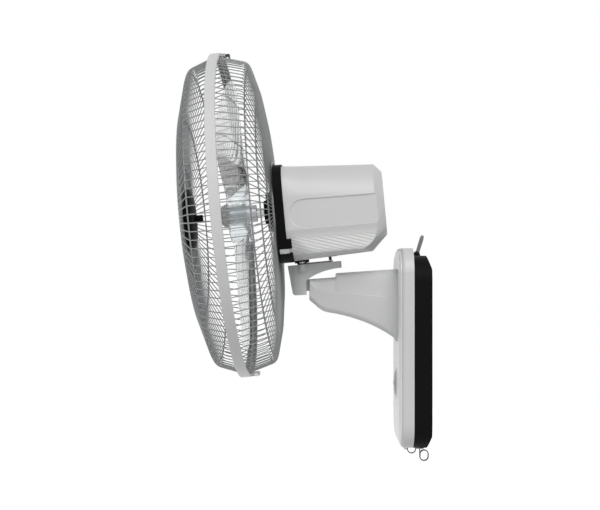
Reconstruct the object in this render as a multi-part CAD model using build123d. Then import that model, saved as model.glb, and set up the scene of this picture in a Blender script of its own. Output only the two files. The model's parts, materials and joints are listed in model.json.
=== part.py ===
from build123d import *
import os
from math import atan2, cos, degrees, hypot, pi, radians, sin, tan

os.makedirs("parts", exist_ok=True)

# A 400 mm wall fan. Millimetres. The origin is the centre of the base's back face, on
# the wall; +Z is up, +Y goes into the wall and the fan faces -Y.

# ---------------------------------------------------------------- general fits
PLAY = 0.3            # gap between pieces that move past each other
RUN = 0.05            # radial clearance of a shaft in its bore
WALL = 2.5            # moulded wall
SCREW_R = 2.0
SCREW_HEAD_R = 3.6
SCREW_HEAD_H = 2.0

# ---------------------------------------------------------------- wall base
BASE_W = 140.0
BASE_H = 266.0
BASE_CORNER = 34.0
BACK_TOP_DROP = 10.0  # the black back housing stops below the light front housing
BACK_DEPTH = 23.6
BACK_SLOPE_Y = 6.0    # its rear edge slopes away at the top and bottom
BACK_SLOPE_Z = 18.0
FRONT_DEPTH = 16.4
FRONT_ROUND = 5.0
FASCIA_INSET = 4.0
FASCIA_SEAT = 2.5     # how deep the fascia sits in the front housing
FASCIA_CROWN, FASCIA_SLOPE_W, FASCIA_RIM = 3.3, 9.0, 12.0
PLATE_W, PLATE_H, PLATE_T = 80.0, 116.0, 2.0
PLATE_HOLE_X, PLATE_HOLE_Z, PLATE_HOLE_R = 50.0, 80.0, 2.75
POCKET_RIM = 6.0      # how far the back housing's pocket reaches past the plate
HOOK_W, HOOK_H, HOOK_Z = 24.0, 12.0, 40.0
BOSS_R = 5.0
BOSS_X, BOSS_LOW, BOSS_TOP = BASE_W / 2 - 16.0, 35.0 - BASE_H / 2, BASE_H / 2 - 45.0
BOSS_SINK = 6.0       # counterbore for the housing screws' heads
HOUSING_SCREW_L, ARM_SCREW_L = 26.0, 5.0
ARM_SCREW_X, ARM_SCREW_Z = 18.0, (32.0, 82.0)
CAPACITOR_W, CAPACITOR_H, CAPACITOR_T, CAPACITOR_Z = 44.0, 24.0, 17.0, 84.0
DIAL_RING_W, DIAL_RING_H = 3.5, 0.8

# ---------------------------------------------------------------- arm and tilt hinge
TILT_Y, TILT_Z = -175.0, 85.0
REST_TILT = 5.3       # nose down
TIP_Y = -160.7
TIP_LOW, TIP_TOP = 62.8, 91.3
ARM_ROOT_LOW, ARM_ROOT_TOP, ARM_ROOT_W = 4.0, 104.9, 78.0
# (distance from the wall, underside, top, width) of the arm's sections before its root
ARM_STATIONS = (
    (TIP_Y, TIP_LOW, TIP_TOP, 40.0),
    (-144.0, 49.2, 93.0, 40.5),
    (-124.5, 43.6, 95.0, 41.5),
    (-123.0, 43.3, 99.0, 41.6),
    (-97.0, 36.8, 101.0, 45.0),
    (-76.0, 29.3, 102.4, 51.0),
    (-60.0, 21.2, 103.5, 59.0),
    (-47.0, 11.5, 104.3, 69.0),
)
ARM_ROUND = 7.0
ARM_WALL = 3.0
TONGUE_W, TONGUE_R = 20.0, 8.5
TONGUE_BAR_LOW, TONGUE_BAR_TOP = 75.0, 91.0
TILT_PIN_R = 4.0
WASHER_T, WASHER_R = 0.6, 8.0

# ---------------------------------------------------------------- neck
SWING_BACK = 6.7      # swing axis behind the tilt pivot
SHAFT_RISE = 100.5    # motor shaft above the tilt pivot
REST_SWING = -3.0
NECK_TOP = 25.4
NECK_HALF_W = 19.0
FLANGE_END = 59.5
FLANGE_LOW = 16.2
FORK_TOP = 12.5       # roof of the fork over the tongue
POST_R = 5.0
BUSH_R = 7.5
COLLAR_R, SHOULDER_R = 10.0, 6.8
CIRCLIP_R, CIRCLIP_T = 6.6, 1.2
POST_TAIL = 2.2       # how far the post reaches below its circlip's groove
YOKE_W, YOKE_FRONT, YOKE_UP = 34.0, -6.0, 6.0   # yoke's width, front and height over the cover's floor
FOOT_T = 5.0
LINK_PIN_X = 20.0     # swing axis to link pin
LINK_PIN_R = 2.0
LINK_T = 1.6
LINK_W = 7.0
LUG_R, LUG_DEEP = 6.0, 9.0
PIN_END = NECK_HALF_W - 3.0   # the pin's bore is blind on the +X side

# ---------------------------------------------------------------- swing drive
CRANK_BACK = 33.0     # crank centre behind the swing axis
CRANK_THROW = 11.5
CRANK_DISC_R, CRANK_DISC_T = 15.0, 3.0
CRANK_PIN_R, CRANK_SHAFT_R, CRANK_SHAFT_L = 2.0, 2.5, 6.0
SWING_MOTOR_R, SWING_MOTOR_H = 22.0, 13.0

# ---------------------------------------------------------------- motor and its covers
FAN_REACH = 88.0      # swing axis to the guard's middle plane
COVER_W, CUP_W = 128.0, 131.0   # rear cover and front cover
COVER_ROUND = 36.0
FACE_U = 62.0         # front face of the front cover, behind the guard's middle plane
JOINT_U = 74.0        # where front and rear covers meet
EDGE_U = 192.0        # where the rear chamfer starts
EDGE_LEAN = 5.0       # the chamfer starts earlier at the bottom than at the top
REAR_U = 206.5
COVER_TOP, COVER_LOW = 61.0, -71.0
JOINT_TOP, JOINT_LOW = 58.5, -69.6
EDGE_TOP, EDGE_LOW, EDGE_W = 51.0, -65.5, 118.0
REAR_TOP, REAR_LOW, REAR_W = 39.5, -45.0, 92.0
PANEL_MID, PANEL_H, PANEL_DEEP = -7.0, 40.0, 1.2
PANEL_U = 81.0
FLUTE_COUNT, FLUTE_H, FLUTE_PITCH, FLUTE_SLOPE, FLUTE_DEEP = 8, 1.6, 3.4, 5.0, 1.0
FLUTE_TOP, FLUTE_U0, FLUTE_U1 = -34.0, 84.0, 186.0
TAB_U = 77.2
TAB_SPANS = ((-52.3, -40.0), (COVER_LOW, -58.7))   # heights of the front cover's tabs
KEY_U = 63.3          # the rear cover's keys reach forward between the tabs
STATOR_W, STATOR_T, STATOR_U = 92.0, 25.0, 110.0
STATOR_BORE_R = 30.3
STATOR_ROUND = 12.0
ROTOR_R = 29.8
WINDING_OUT, WINDING_T = 40.0, 12.0
SHIELD_T, SHIELD_RIM, SHIELD_REACH = 6.0, 5.0, 18.0
BEARING_R, BEARING_L = 8.0, 14.0
BOLT_AT, BOLT_R = 38.0, 2.0
SHAFT_R = 4.0
SHAFT_FRONT_U, SHAFT_REAR_U = -12.0, 168.0

# ---------------------------------------------------------------- guards
BAND_R, BAND_W, BAND_T, BAND_LIP, LIP_T = 220.0, 13.5, 2.2, 4.0, 1.4
WIRE_COUNT = 120
WIRE = 1.7
RING = 2.4
END_RING = 3.0        # the rings that the wires end in
RING_SIDES = WIRE_COUNT // 2
CROSS_SIDES = 48
# (radius, distance behind the guard's middle plane) along a wire's centre line
REAR_WIRE = ((66.5, 60.2), (130.0, 55.3), (BAND_R - 21.0, 39.0))
FRONT_WIRE = ((36.0, -64.6), (105.0, -59.2), (BAND_R - 21.0, -38.0))
REAR_RINGS = (100.0, 158.0, BAND_R - 24.0)
FRONT_RINGS = (72.0, 135.0, BAND_R - 24.0)
MOUNT_PLATE_R, MOUNT_PLATE_T = 64.5, 5.0
NOSE_R, NOSE_U = 16.0, 44.0
GUARD_NUT_R, GUARD_NUT_T = 27.0, 9.0
BADGE_R, BADGE_T = 37.0, 5.0
LUG_W, LUG_H, LUG_T = 16.0, 5.0, 10.0
LATCH_W, LATCH_L, LATCH_T = 14.0, 9.0, 2.4

# ---------------------------------------------------------------- impeller
BLADE_COUNT = 3
BLADE_IN_R, BLADE_TIP_R, BLADE_HALF_W = 32.0, BAND_R - 28.0, 84.0
BLADE_ANGLE = 92.0    # degrees of the circle that one blade covers
BLADE_T, BLADE_BOW = 2.0, 0.10
HUB_R, HUB_FRONT_U, HUB_REAR_U, HUB_WALL = 38.0, -4.0, 23.0, 2.5
INSERT_R, INSERT_REAR_U = 11.5, 33.0
SPINNER_R, SPINNER_T = 17.0, 16.0

# ---------------------------------------------------------------- controls
KNOB_Z, KNOB_R, KNOB_H = -50.0, 16.5, 5.0
KNOB_SHAFT_R = 3.0
TIMER_W, TIMER_T = 42.0, 20.0
PULL_X, PULL_Y = 35.0, -14.0
PULL_R = 0.75
PULL_TRAVEL = 10.0
SWITCH_W, SWITCH_H, SWITCH_T = 24.0, 34.0, 19.0
SWITCH_Z = 41.0 - BASE_H / 2
EYELET_R, EYELET_BORE = 4.0, 1.6
LEVER_R, LEVER_L = 2.4, 12.0

# ---------------------------------------------------------------- cords
CORD_D = 5.0
HANK_X = -BASE_W / 2 - 15.0  # where the hank hangs, beside the base
CORD_POINTS = (        # x, y and height of the cord's corners, from the gland to the hank
    (0.0, -14.5, BASE_H / 2 - 6.0),
    (-9.0, -9.0, BASE_H / 2 + 8.0),
    (-29.0, -5.0, BASE_H / 2 + 17.0),
    (-53.0, -4.5, BASE_H / 2 + 14.0),
    (HANK_X + 10.0, -8.0, BASE_H / 2 - 4.0),
    (HANK_X, -13.0, BASE_H / 2 - 34.0),
    (HANK_X, -27.0, 60.0),
    (HANK_X, -33.5, 30.0),
    (HANK_X, -33.5, 14.0),
)
HANK_LOOPS, HANK_RUN, HANK_BEND_R, HANK_PITCH = 7, 60.0, 15.0, 5.5
LEAD_POINTS_DOWN = ((0.0, 0.0, 0.0), (0.0, 0.0, -14.0), (0.0, 7.0, -30.0), (0.0, 11.0, -46.0),
                    (0.0, 11.0, -56.0))
PLUG_W, PLUG_T, PLUG_L = 26.0, 14.0, 34.0
PLUG_PIN_R, PLUG_PIN_L, PLUG_PIN_GAP = 2.4, 19.0, 19.0
PULL_LOOPS, PULL_BEND_R, PULL_PITCH = 3, 5.5, 2.0
PULL_RUN = 3.0
CORD_SIDES = 6        # flat sides on the mains cord's tube
THIN_SIDES = 4        # and on the pull cords'

# ---------------------------------------------------------------- frames
NECK = Pos(0, TILT_Y, TILT_Z) * Rot(X=REST_TILT)
HEAD = NECK * Pos(0, SWING_BACK, SHAFT_RISE) * Rot(Z=REST_SWING)
FAN = HEAD * Pos(0, -FAN_REACH, 0)   # origin in the guard's middle plane, +Y to the rear


def turned(*outline):
    """Solid of revolution about the fan's axis from (radius, distance behind) points."""
    return revolve(make_face(Polyline(*outline, close=True)), Axis.Y)


def disc(radius, u0, u1, bore=0.0):
    """Disc or ring about the fan's axis, between two distances."""
    body = Rot(X=-90) * Pos(0, 0, (u0 + u1) / 2) * Cylinder(radius, u1 - u0)
    if bore:
        body -= Rot(X=-90) * Pos(0, 0, (u0 + u1) / 2) * Cylinder(bore, u1 - u0 + 1)
    return body


def post(radius, z0, z1, x=0.0, y=0.0):
    """Upright cylinder between two heights."""
    return Pos(x, y, (z0 + z1) / 2) * Cylinder(radius, z1 - z0)


def block(x0, x1, y0, y1, z0, z1):
    """Box between two corners."""
    return Pos((x0 + x1) / 2, (y0 + y1) / 2, (z0 + z1) / 2) * Box(x1 - x0, y1 - y0, z1 - z0)


def across(points, half_width):
    """Side outline in (y, z) drawn out to both sides of the middle."""
    return extrude(Plane.YZ * make_face(Polyline(*points, close=True)), half_width, both=True)


def toward_wall(sketch, y_front, y_back):
    """Front-view sketch in (x, z) drawn out between two depths."""
    return extrude(Plane.XZ.offset(-y_back) * sketch, y_back - y_front)


def group(solids):
    """Several separate solids kept in one node."""
    return Compound(children=list(solids))


# ================================================================ wall base
BACK_TOP = BASE_H / 2 - BACK_TOP_DROP
FRONT_Y = -(BACK_DEPTH + FRONT_DEPTH)
SEAT_Y = FRONT_Y + FASCIA_SEAT
FASCIA_Y = FRONT_Y - FASCIA_CROWN


def base_outline(inset, top=BASE_H / 2):
    """Front view of the base, drawn in by a wall."""
    low = -BASE_H / 2
    height = top - low - 2 * inset
    return Pos(0, (top + low) / 2) * RectangleRounded(BASE_W - 2 * inset, height, BASE_CORNER - inset)


def back_form(inset):
    """The back housing's outer form: its outline, sloped off at the top and bottom rear."""
    low, top = -BASE_H / 2 + inset, BACK_TOP - inset
    rear, front = -inset, -BACK_DEPTH
    side = across(
        [(front, low), (-BACK_SLOPE_Y - inset, low), (rear, low + BACK_SLOPE_Z),
         (rear, top - BACK_SLOPE_Z), (-BACK_SLOPE_Y - inset, top), (front, top)],
        BASE_W,
    )
    return toward_wall(base_outline(inset, BACK_TOP), front, rear) & side


def plate_holes(radius, y0, y1):
    """The wall plate's four fixing holes."""
    xs, zs = PLATE_HOLE_X / 2, PLATE_HOLE_Z / 2
    return [Pos(x, (y0 + y1) / 2, z) * Rot(X=90) * Cylinder(radius, y1 - y0)
            for x in (-xs, xs) for z in (-zs, zs)]


def wall_plate():
    """Steel plate screwed to the wall, with two upturned hooks that carry the base."""
    plate = toward_wall(RectangleRounded(PLATE_W, PLATE_H, 5), -PLATE_T, 0)
    plate -= plate_holes(PLATE_HOLE_R, -PLATE_T - 1, 1)
    for z in (-HOOK_Z, HOOK_Z):
        foot = block(-HOOK_W / 2, HOOK_W / 2, -PLATE_T - WALL - PLAY, -PLATE_T, z, z + PLATE_T)
        lip_y = -PLATE_T - WALL - PLAY
        lip = block(-HOOK_W / 2, HOOK_W / 2, lip_y - PLATE_T, lip_y, z, z + HOOK_H)
        plate += foot + lip
    return plate


def back_housing():
    """Black tray: rear wall with a recess for the plate, hook slots and cord outlets."""
    tray = back_form(0) - back_form(WALL)
    pocket = toward_wall(RectangleRounded(
        PLATE_W + 2 * POCKET_RIM, PLATE_H + 2 * POCKET_RIM, 8), -PLATE_T - WALL, -WALL)
    tray += pocket
    tray -= toward_wall(RectangleRounded(PLATE_W + 1, PLATE_H + 1, 5.5), -PLATE_T, 1)
    for z in (-HOOK_Z, HOOK_Z):
        tray -= block(-HOOK_W / 2 - 1, HOOK_W / 2 + 1, -PLATE_T - WALL - 1, 0, z - 1, z + HOOK_H + 1)
    for x, z in boss_places():
        tray += disc_y(BOSS_R, -BACK_DEPTH, -WALL / 2, x, z)
        tray -= disc_y(SCREW_HEAD_R + PLAY, -BOSS_SINK, 1, x, z)
        tray -= disc_y(SCREW_R, -BACK_DEPTH - 1, 0, x, z)
    tray -= cord_gland()
    for side in (-1, 1):
        tray -= post(EYELET_R, -BASE_H / 2 - 1, -BASE_H / 2 + WALL + 1, side * PULL_X, PULL_Y)
    return tray


def boss_places():
    """Front-view places of the four housing screws."""
    return [(x, z) for x in (-BOSS_X, BOSS_X) for z in (BOSS_LOW, BOSS_TOP)]


def arm_screw_places():
    """Front-view places of the four screws into the arm's root."""
    return [(x, z) for x in (-ARM_SCREW_X, ARM_SCREW_X) for z in ARM_SCREW_Z]


def front_housing():
    """Light grey frame with a recessed front wall for the fascia and the arm's root."""
    outer = toward_wall(base_outline(0), FRONT_Y, -BACK_DEPTH)
    outer = fillet(outer.faces().sort_by(Axis.Y)[0].edges(), FRONT_ROUND)
    inner = toward_wall(base_outline(WALL), SEAT_Y + WALL, -BACK_DEPTH + 1)
    recess = toward_wall(base_outline(FASCIA_INSET - PLAY), FRONT_Y - 1, SEAT_Y)
    rear_wall = toward_wall(base_outline(0), -BACK_DEPTH - WALL, -BACK_DEPTH)
    ledge = rear_wall & block(-BASE_W, BASE_W, -BASE_W, 0, BACK_TOP - WALL, BASE_H)
    shell = outer - inner - recess + ledge
    for x, z in boss_places():
        shell += disc_y(BOSS_R, SEAT_Y + WALL / 2, -BACK_DEPTH, x, z)
        shell -= disc_y(SCREW_R, -BOSS_SINK - HOUSING_SCREW_L, 0, x, z)
    for x, z in arm_screw_places():
        shell -= disc_y(SCREW_R, FRONT_Y, -BACK_DEPTH, x, z)
    return shell - disc_y(KNOB_SHAFT_R + 1, FRONT_Y, -BACK_DEPTH, 0, KNOB_Z)


def disc_y(radius, y0, y1, x, z):
    """Cylinder square to the wall."""
    return Pos(x, (y0 + y1) / 2, z) * Rot(X=90) * Cylinder(radius, y1 - y0)


def fascia_panel():
    """White crowned panel, hollow behind, cut out round the arm and the knob's shaft."""
    panel = toward_wall(base_outline(FASCIA_INSET), FASCIA_Y, SEAT_Y)
    panel = chamfer(panel.faces().sort_by(Axis.Y)[0].edges(), FASCIA_CROWN * 0.8, FASCIA_SLOPE_W)
    panel -= toward_wall(base_outline(FASCIA_INSET + FASCIA_RIM), FASCIA_Y + WALL, SEAT_Y + 1)
    panel += disc_y(KNOB_R + 1 + DIAL_RING_W, FASCIA_Y - DIAL_RING_H, FASCIA_Y, 0, KNOB_Z)
    panel -= disc_y(KNOB_R + 1, FASCIA_Y - 2, FASCIA_Y, 0, KNOB_Z)
    panel -= arm_form(-PLAY)
    return panel - disc_y(KNOB_SHAFT_R + 1, FASCIA_Y - 1, SEAT_Y + 1, 0, KNOB_Z)


def base_screws():
    """Four screws that join the housings and four that hold the arm, heads to the rear."""
    return group([Pos(x, -BOSS_SINK, z) * Rot(X=-90) * screw(HOUSING_SCREW_L)
                  for x, z in boss_places()]
                 + [Pos(x, SEAT_Y + WALL, z) * Rot(X=-90) * screw(ARM_SCREW_L)
                    for x, z in arm_screw_places()])


def run_capacitor():
    """The motor's run capacitor on the back housing's floor."""
    half_w, half_h = CAPACITOR_W / 2, CAPACITOR_H / 2
    return block(-half_w, half_w, -WALL - CAPACITOR_T, -WALL, CAPACITOR_Z - half_h, CAPACITOR_Z + half_h)


# ================================================================ arm and tilt hinge
def arm_section(station, inset):
    """Rounded upright section of the arm at one distance from the wall."""
    y, low, top, width = station
    height = top - low - 2 * inset
    corner = max(ARM_ROUND - inset, 1.0)
    plane = Plane(origin=(0, y, (top + low) / 2), x_dir=(1, 0, 0), z_dir=(0, -1, 0))
    return plane * RectangleRounded(width - 2 * inset, height, corner)


def arm_form(inset):
    """The arm's outer form: sections that drop and widen from the tip to the root."""
    root = (SEAT_Y, ARM_ROOT_LOW, ARM_ROOT_TOP, ARM_ROOT_W)
    stations = ARM_STATIONS + (root,)
    spans = zip(stations, stations[1:])
    body = None
    for ahead, behind in spans:
        span = loft([arm_section(ahead, inset), arm_section(behind, inset)], ruled=True)
        body = span if body is None else body + span
    return body


def wall_arm():
    """Hollow moulded arm with a slot in its tip for the hinge tongue."""
    hollow = block(-BASE_W, BASE_W, TIP_Y + ARM_WALL, SEAT_Y - ARM_WALL, 0, BASE_H)
    arm = arm_form(0) - (arm_form(ARM_WALL) & hollow)
    for x, z in arm_screw_places():
        arm -= disc_y(SCREW_R, SEAT_Y - ARM_WALL - 1, SEAT_Y + 1, x, z)
    half = TONGUE_W / 2
    return arm - block(-half, half, TIP_Y - 1, TIP_Y + ARM_WALL + 1, TONGUE_BAR_LOW, TIP_TOP + 1)


def arm_tongue():
    """Hinge tongue: eye round the tilt pin and a root that fills the arm's tip."""
    half = TONGUE_W / 2
    eye = Pos(0, TILT_Y, TILT_Z) * Rot(Y=90) * Cylinder(TONGUE_R, TONGUE_W)
    bar = block(-half, half, TILT_Y, TIP_Y + ARM_WALL, TONGUE_BAR_LOW + PLAY, TONGUE_BAR_TOP)
    root_y = TIP_Y + ARM_WALL
    root = block(-half - 4, half + 4, root_y, root_y + 18, TIP_LOW + 9, TONGUE_BAR_TOP - ARM_WALL - 2)
    return eye + bar + root - Pos(0, TILT_Y, TILT_Z) * Rot(Y=90) * Cylinder(TILT_PIN_R, TONGUE_W + 1)


def tilt_pin():
    """Steel pin through the tongue and both cheeks of the fork, blind at its +X end."""
    start = 1.0 - NECK_HALF_W
    return Pos((start + PIN_END) / 2, TILT_Y, TILT_Z) * Rot(Y=90) * Cylinder(TILT_PIN_R, PIN_END - start)


def tilt_washers():
    """Two friction washers beside the tongue."""
    ring = Cylinder(WASHER_R, WASHER_T) - Cylinder(TILT_PIN_R, WASHER_T + 1)
    x = (TONGUE_W + WASHER_T) / 2
    return group(Pos(s * x, TILT_Y, TILT_Z) * Rot(Y=90) * ring for s in (-1, 1))


def screw(length):
    """Pan-head screw pointing down from the origin."""
    return post(SCREW_R, -length, 0) + post(SCREW_HEAD_R, 0, SCREW_HEAD_H)


# ================================================================ neck
def neck_housing():
    """Moulded neck: a fork over the tongue that sweeps back into the swing flange."""
    front = [(-13.2, NECK_TOP), (-9.8, -11.6)]
    toe, heel = (-5.5, -15.0), (9.0, -15.6)
    outline = make_face(Wire(
        list(Polyline(*front).edges())
        + list(ThreePointArc(front[-1], (-8.6, -13.9), toe).edges())
        + list(Polyline(toe, heel, (9.2, -2.7)).edges())
        + list(Spline((9.2, -2.7), (17.0, 7.5), (50.5, FLANGE_LOW), tangents=((0, 1), (1, 0.1))).edges())
        + list(Polyline((50.5, FLANGE_LOW), (FLANGE_END, FLANGE_LOW + 0.4), (FLANGE_END, NECK_TOP),
                        front[0]).edges())))
    body = extrude(Plane.YZ * outline, NECK_HALF_W * 2, both=True)
    rear_y = FLANGE_END - NECK_HALF_W / 2
    plan = (Pos(0, SWING_BACK) * Circle(NECK_HALF_W + 0.9)
            + Pos(0, (SWING_BACK + rear_y) / 2) * Rectangle(2 * NECK_HALF_W, rear_y - SWING_BACK)
            + Pos(0, rear_y) * RectangleRounded(2 * NECK_HALF_W, NECK_HALF_W, 6))
    plan = make_hull(plan.edges())
    body &= Pos(0, 0, -BASE_H / 2) * extrude(plan, BASE_H)
    body += post(LUG_R, NECK_TOP - LUG_DEEP, NECK_TOP, LINK_PIN_X, SWING_BACK)
    fork_half = TONGUE_W / 2 + WASHER_T + PLAY
    body -= block(-fork_half, fork_half, -TONGUE_R - 0.6, FLANGE_END / 2, -40, FORK_TOP)
    body -= Pos((PIN_END + PLAY) / 2 - NECK_HALF_W, 0, 0) * Rot(Y=90) * Cylinder(
        TILT_PIN_R + RUN, PIN_END + PLAY + 2 * NECK_HALF_W)
    body -= post(BUSH_R, FORK_TOP - 1, NECK_TOP + 1, 0, SWING_BACK)
    return body - post(LINK_PIN_R, NECK_TOP - 8, NECK_TOP + 1, LINK_PIN_X, SWING_BACK)


def pivot_bush():
    """Flanged plastic bush in which the head's post turns."""
    bush = post(BUSH_R, FORK_TOP + CIRCLIP_T + PLAY, NECK_TOP, 0, SWING_BACK)
    return bush - post(POST_R + RUN, 0, NECK_TOP + 1, 0, SWING_BACK)


def link_pin():
    """Shouldered pin on the neck that holds the link."""
    top = NECK_TOP + PLAY + LINK_T + PLAY
    return (post(LINK_PIN_R, NECK_TOP - 8, top, LINK_PIN_X, SWING_BACK)
            + post(LINK_PIN_R + 2, top, top + 1.2, LINK_PIN_X, SWING_BACK))


def crank_pin_at():
    """Plan place of the crank pin, in the head's frame, square to the link at mid stroke."""
    away = atan2(CRANK_BACK, -LINK_PIN_X)
    return (CRANK_THROW * cos(away - pi / 2), CRANK_BACK + CRANK_THROW * sin(away - pi / 2))


def swing_link():
    """Flat steel link between the neck's pin and the crank pin."""
    pin_x, pin_y = crank_pin_at()
    turn = radians(REST_SWING)
    end = (pin_x * cos(turn) - pin_y * sin(turn), pin_x * sin(turn) + pin_y * cos(turn))
    start = (LINK_PIN_X, 0.0)
    length = hypot(end[0] - start[0], end[1] - start[1])
    angle = degrees(atan2(end[1] - start[1], end[0] - start[0]))
    plan = Pos(length / 2, 0) * SlotOverall(length + LINK_W, LINK_W)
    plan -= Circle(LINK_PIN_R + RUN)
    link = extrude(plan, LINK_T)
    return Pos(*start, 0) * Rot(Z=angle) * link


# ================================================================ motor covers
def cover_section(u, top, low, width, lean=0.0):
    """Rounded-square section of the motor cover at one distance, leaning if asked."""
    plane = Plane(origin=(0, u, (top + low) / 2), x_dir=(1, 0, 0),
                  z_dir=(0, 1, -lean / (top - low) * 2))
    corner = min(COVER_ROUND, (top - low) / 2 - 2, width / 2 - 2)
    return plane * RectangleRounded(width, top - low, corner)


def rear_form(inset):
    """Outer form of the rear cover: a long taper and a wide chamfer round the rear face."""
    i = inset
    front = cover_section(JOINT_U, JOINT_TOP - i, JOINT_LOW + i, COVER_W - 2 * i)
    edge = cover_section(EDGE_U - i, EDGE_TOP - i, EDGE_LOW + i, EDGE_W - 2 * i, EDGE_LEAN)
    rear = cover_section(REAR_U - i, REAR_TOP - i / 2, REAR_LOW + i / 2, REAR_W - i)
    return loft([front, edge], ruled=True) + loft([edge, rear], ruled=True)


def side_tabs(grow):
    """Places of the front cover's rearward tabs at the lower sides."""
    return [block(s * COVER_W / 2 - COVER_ROUND, s * COVER_W / 2 + COVER_ROUND, JOINT_U - 0.5, TAB_U + grow,
                  low - grow, top + grow) for s in (-1, 1) for low, top in TAB_SPANS]


def side_keys(grow):
    """Places of the rear cover's keys that reach forward between those tabs."""
    low, top = TAB_SPANS[1][1], TAB_SPANS[0][0]
    return [block(s * COVER_W / 2 - COVER_ROUND, s * COVER_W / 2 + COVER_ROUND, KEY_U - grow,
                  JOINT_U + 2 * PLAY, low + PLAY - grow, top - PLAY + grow) for s in (-1, 1)]


def front_cup():
    """The front cover's wall, before its tabs."""
    outer = extrude(cover_section(FACE_U, COVER_TOP, COVER_LOW, CUP_W), JOINT_U - FACE_U)
    return outer - extrude(cover_section(FACE_U + WALL, COVER_TOP - WALL, COVER_LOW + WALL,
                                         CUP_W - 2 * WALL), JOINT_U - FACE_U)


def motor_rear_cover():
    """Light grey hollow cover with side panels, sloping flutes and a drive opening below."""
    cover = rear_form(0) - (rear_form(WALL) + cover_mouth(WALL))
    length = REAR_U - PANEL_U + PANEL_H / 2
    slot = Pos(PANEL_U + length / 2 - PANEL_H / 4, PANEL_MID) * RectangleRounded(
        length, PANEL_H, PANEL_H / 2 - 0.1)
    taper = degrees(atan2((COVER_W - EDGE_W) / 2, EDGE_U - JOINT_U))
    for s in (-1, 1):
        deep = extrude(Plane.YZ * slot, COVER_ROUND)
        deep = Pos(s * (COVER_W / 2 - PANEL_DEEP), JOINT_U, 0) * Rot(Z=s * taper) * Pos(
            0 if s > 0 else -COVER_ROUND, -JOINT_U, 0) * deep
        cover -= deep & toward_joint(s)
    skin = rear_form(-1) - rear_form(FLUTE_DEEP)
    for k in range(FLUTE_COUNT):
        z = FLUTE_TOP - k * FLUTE_PITCH
        run = FLUTE_U1 - FLUTE_U0 - 3 * k
        flute = Pos(0, FLUTE_U0 + run / 2, z) * Rot(X=-FLUTE_SLOPE) * Box(COVER_W + 4, run, FLUTE_H)
        cover -= flute & skin
    cover -= side_tabs(PLAY)
    keys = front_cup() + extrude(cover_section(JOINT_U - 1, JOINT_TOP, JOINT_LOW, COVER_W), 2) - extrude(
        cover_section(JOINT_U - 2, JOINT_TOP - WALL, JOINT_LOW + WALL, COVER_W - 2 * WALL), 4)
    for key in side_keys(0):
        cover += keys & key
    for reach, radius in ((FAN_REACH, COLLAR_R + 1.5), (FAN_REACH + CRANK_BACK, CRANK_DISC_R + 1)):
        cover -= post(radius, COVER_LOW - 5, COVER_LOW + 10, 0, reach)
    return cover


def toward_joint(side):
    """Everything on one side of the head behind the covers' joint."""
    return block(min(0, side * COVER_W), max(0, side * COVER_W), JOINT_U, EDGE_U + 4, COVER_LOW, COVER_TOP)


def cover_mouth(inset):
    """Prism of the cover's mouth, to open the shell at its front."""
    sketch = cover_section(JOINT_U, JOINT_TOP - inset, JOINT_LOW + inset, COVER_W - 2 * inset)
    return Pos(0, -1, 0) * extrude(sketch, 1)


def motor_front_cover():
    """Black cup in front of the motor, with tabs that grip the rear cover's lower sides."""
    cup = front_cup() - disc(NOSE_R, FACE_U - 1, FACE_U + WALL + 1)
    cup -= block(-COVER_W, COVER_W, JOINT_U - PLAY, JOINT_U + 1, 2 * COVER_LOW, 2 * COVER_TOP)
    ring = extrude(cover_section(JOINT_U - 2, COVER_TOP, COVER_LOW, CUP_W), TAB_U - JOINT_U + 2)
    ring -= rear_form(-0.2)
    for tab in side_tabs(0):
        cup += ring & tab
    return cup - side_keys(PLAY)


# ================================================================ motor
STATOR_END_U = STATOR_U + STATOR_T
FOOT_Z = -STATOR_W / 2


def motor_square(u0, u1, width, corner):
    """Rounded square prism about the motor's axis."""
    return Rot(X=-90) * Pos(0, 0, u0) * extrude(RectangleRounded(width, width, corner), u1 - u0)


def bolt_holes(u0, u1, radius):
    """Cylinders where the four long motor bolts run."""
    return [Pos(x, (u0 + u1) / 2, z) * Rot(X=90) * Cylinder(radius, u1 - u0)
            for x in (-BOLT_AT, BOLT_AT) for z in (-BOLT_AT, BOLT_AT)]


def stator_core():
    """Square lamination stack with a round bore."""
    core = motor_square(STATOR_U, STATOR_END_U, STATOR_W, STATOR_ROUND)
    return core - disc(STATOR_BORE_R, STATOR_U - 1, STATOR_END_U + 1) - bolt_holes(
        STATOR_U - 1, STATOR_END_U + 1, BOLT_R)


def stator_windings():
    """Two wound heads, one at each end of the core."""
    return group(disc(WINDING_OUT, a, b, STATOR_BORE_R + 2) for a, b in (
        (STATOR_U - WINDING_T, STATOR_U), (STATOR_END_U, STATOR_END_U + WINDING_T)))


def end_shield(core_u, outward):
    """Cast end shield: a rim that meets the core, an end wall and a bearing boss."""
    reach = outward * SHIELD_REACH
    wall = outward * SHIELD_T
    u = sorted((core_u, core_u + reach))
    box = motor_square(u[0], u[1], STATOR_W, STATOR_ROUND)
    hollow = sorted((core_u, core_u + reach - wall))
    box -= motor_square(hollow[0], hollow[1], STATOR_W - 2 * SHIELD_RIM,
                        STATOR_ROUND - SHIELD_RIM + 2)
    boss = sorted((core_u + reach - wall, core_u + reach + outward * (BEARING_L - SHIELD_T)))
    box += disc(BEARING_R + 5, boss[0], boss[1])
    for x in (-BOLT_AT, BOLT_AT):
        for z in (-BOLT_AT, BOLT_AT):
            box += Pos(x, (u[0] + u[1]) / 2, z) * Rot(X=90) * Cylinder(BOLT_R + 3, u[1] - u[0])
    box &= motor_square(u[0] - BEARING_L, u[1] + BEARING_L, STATOR_W, STATOR_ROUND)
    box -= disc(BEARING_R, u[0] - 40, u[1] + 40)
    return box - bolt_holes(u[0] - 1, u[1] + 1, BOLT_R)


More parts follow.
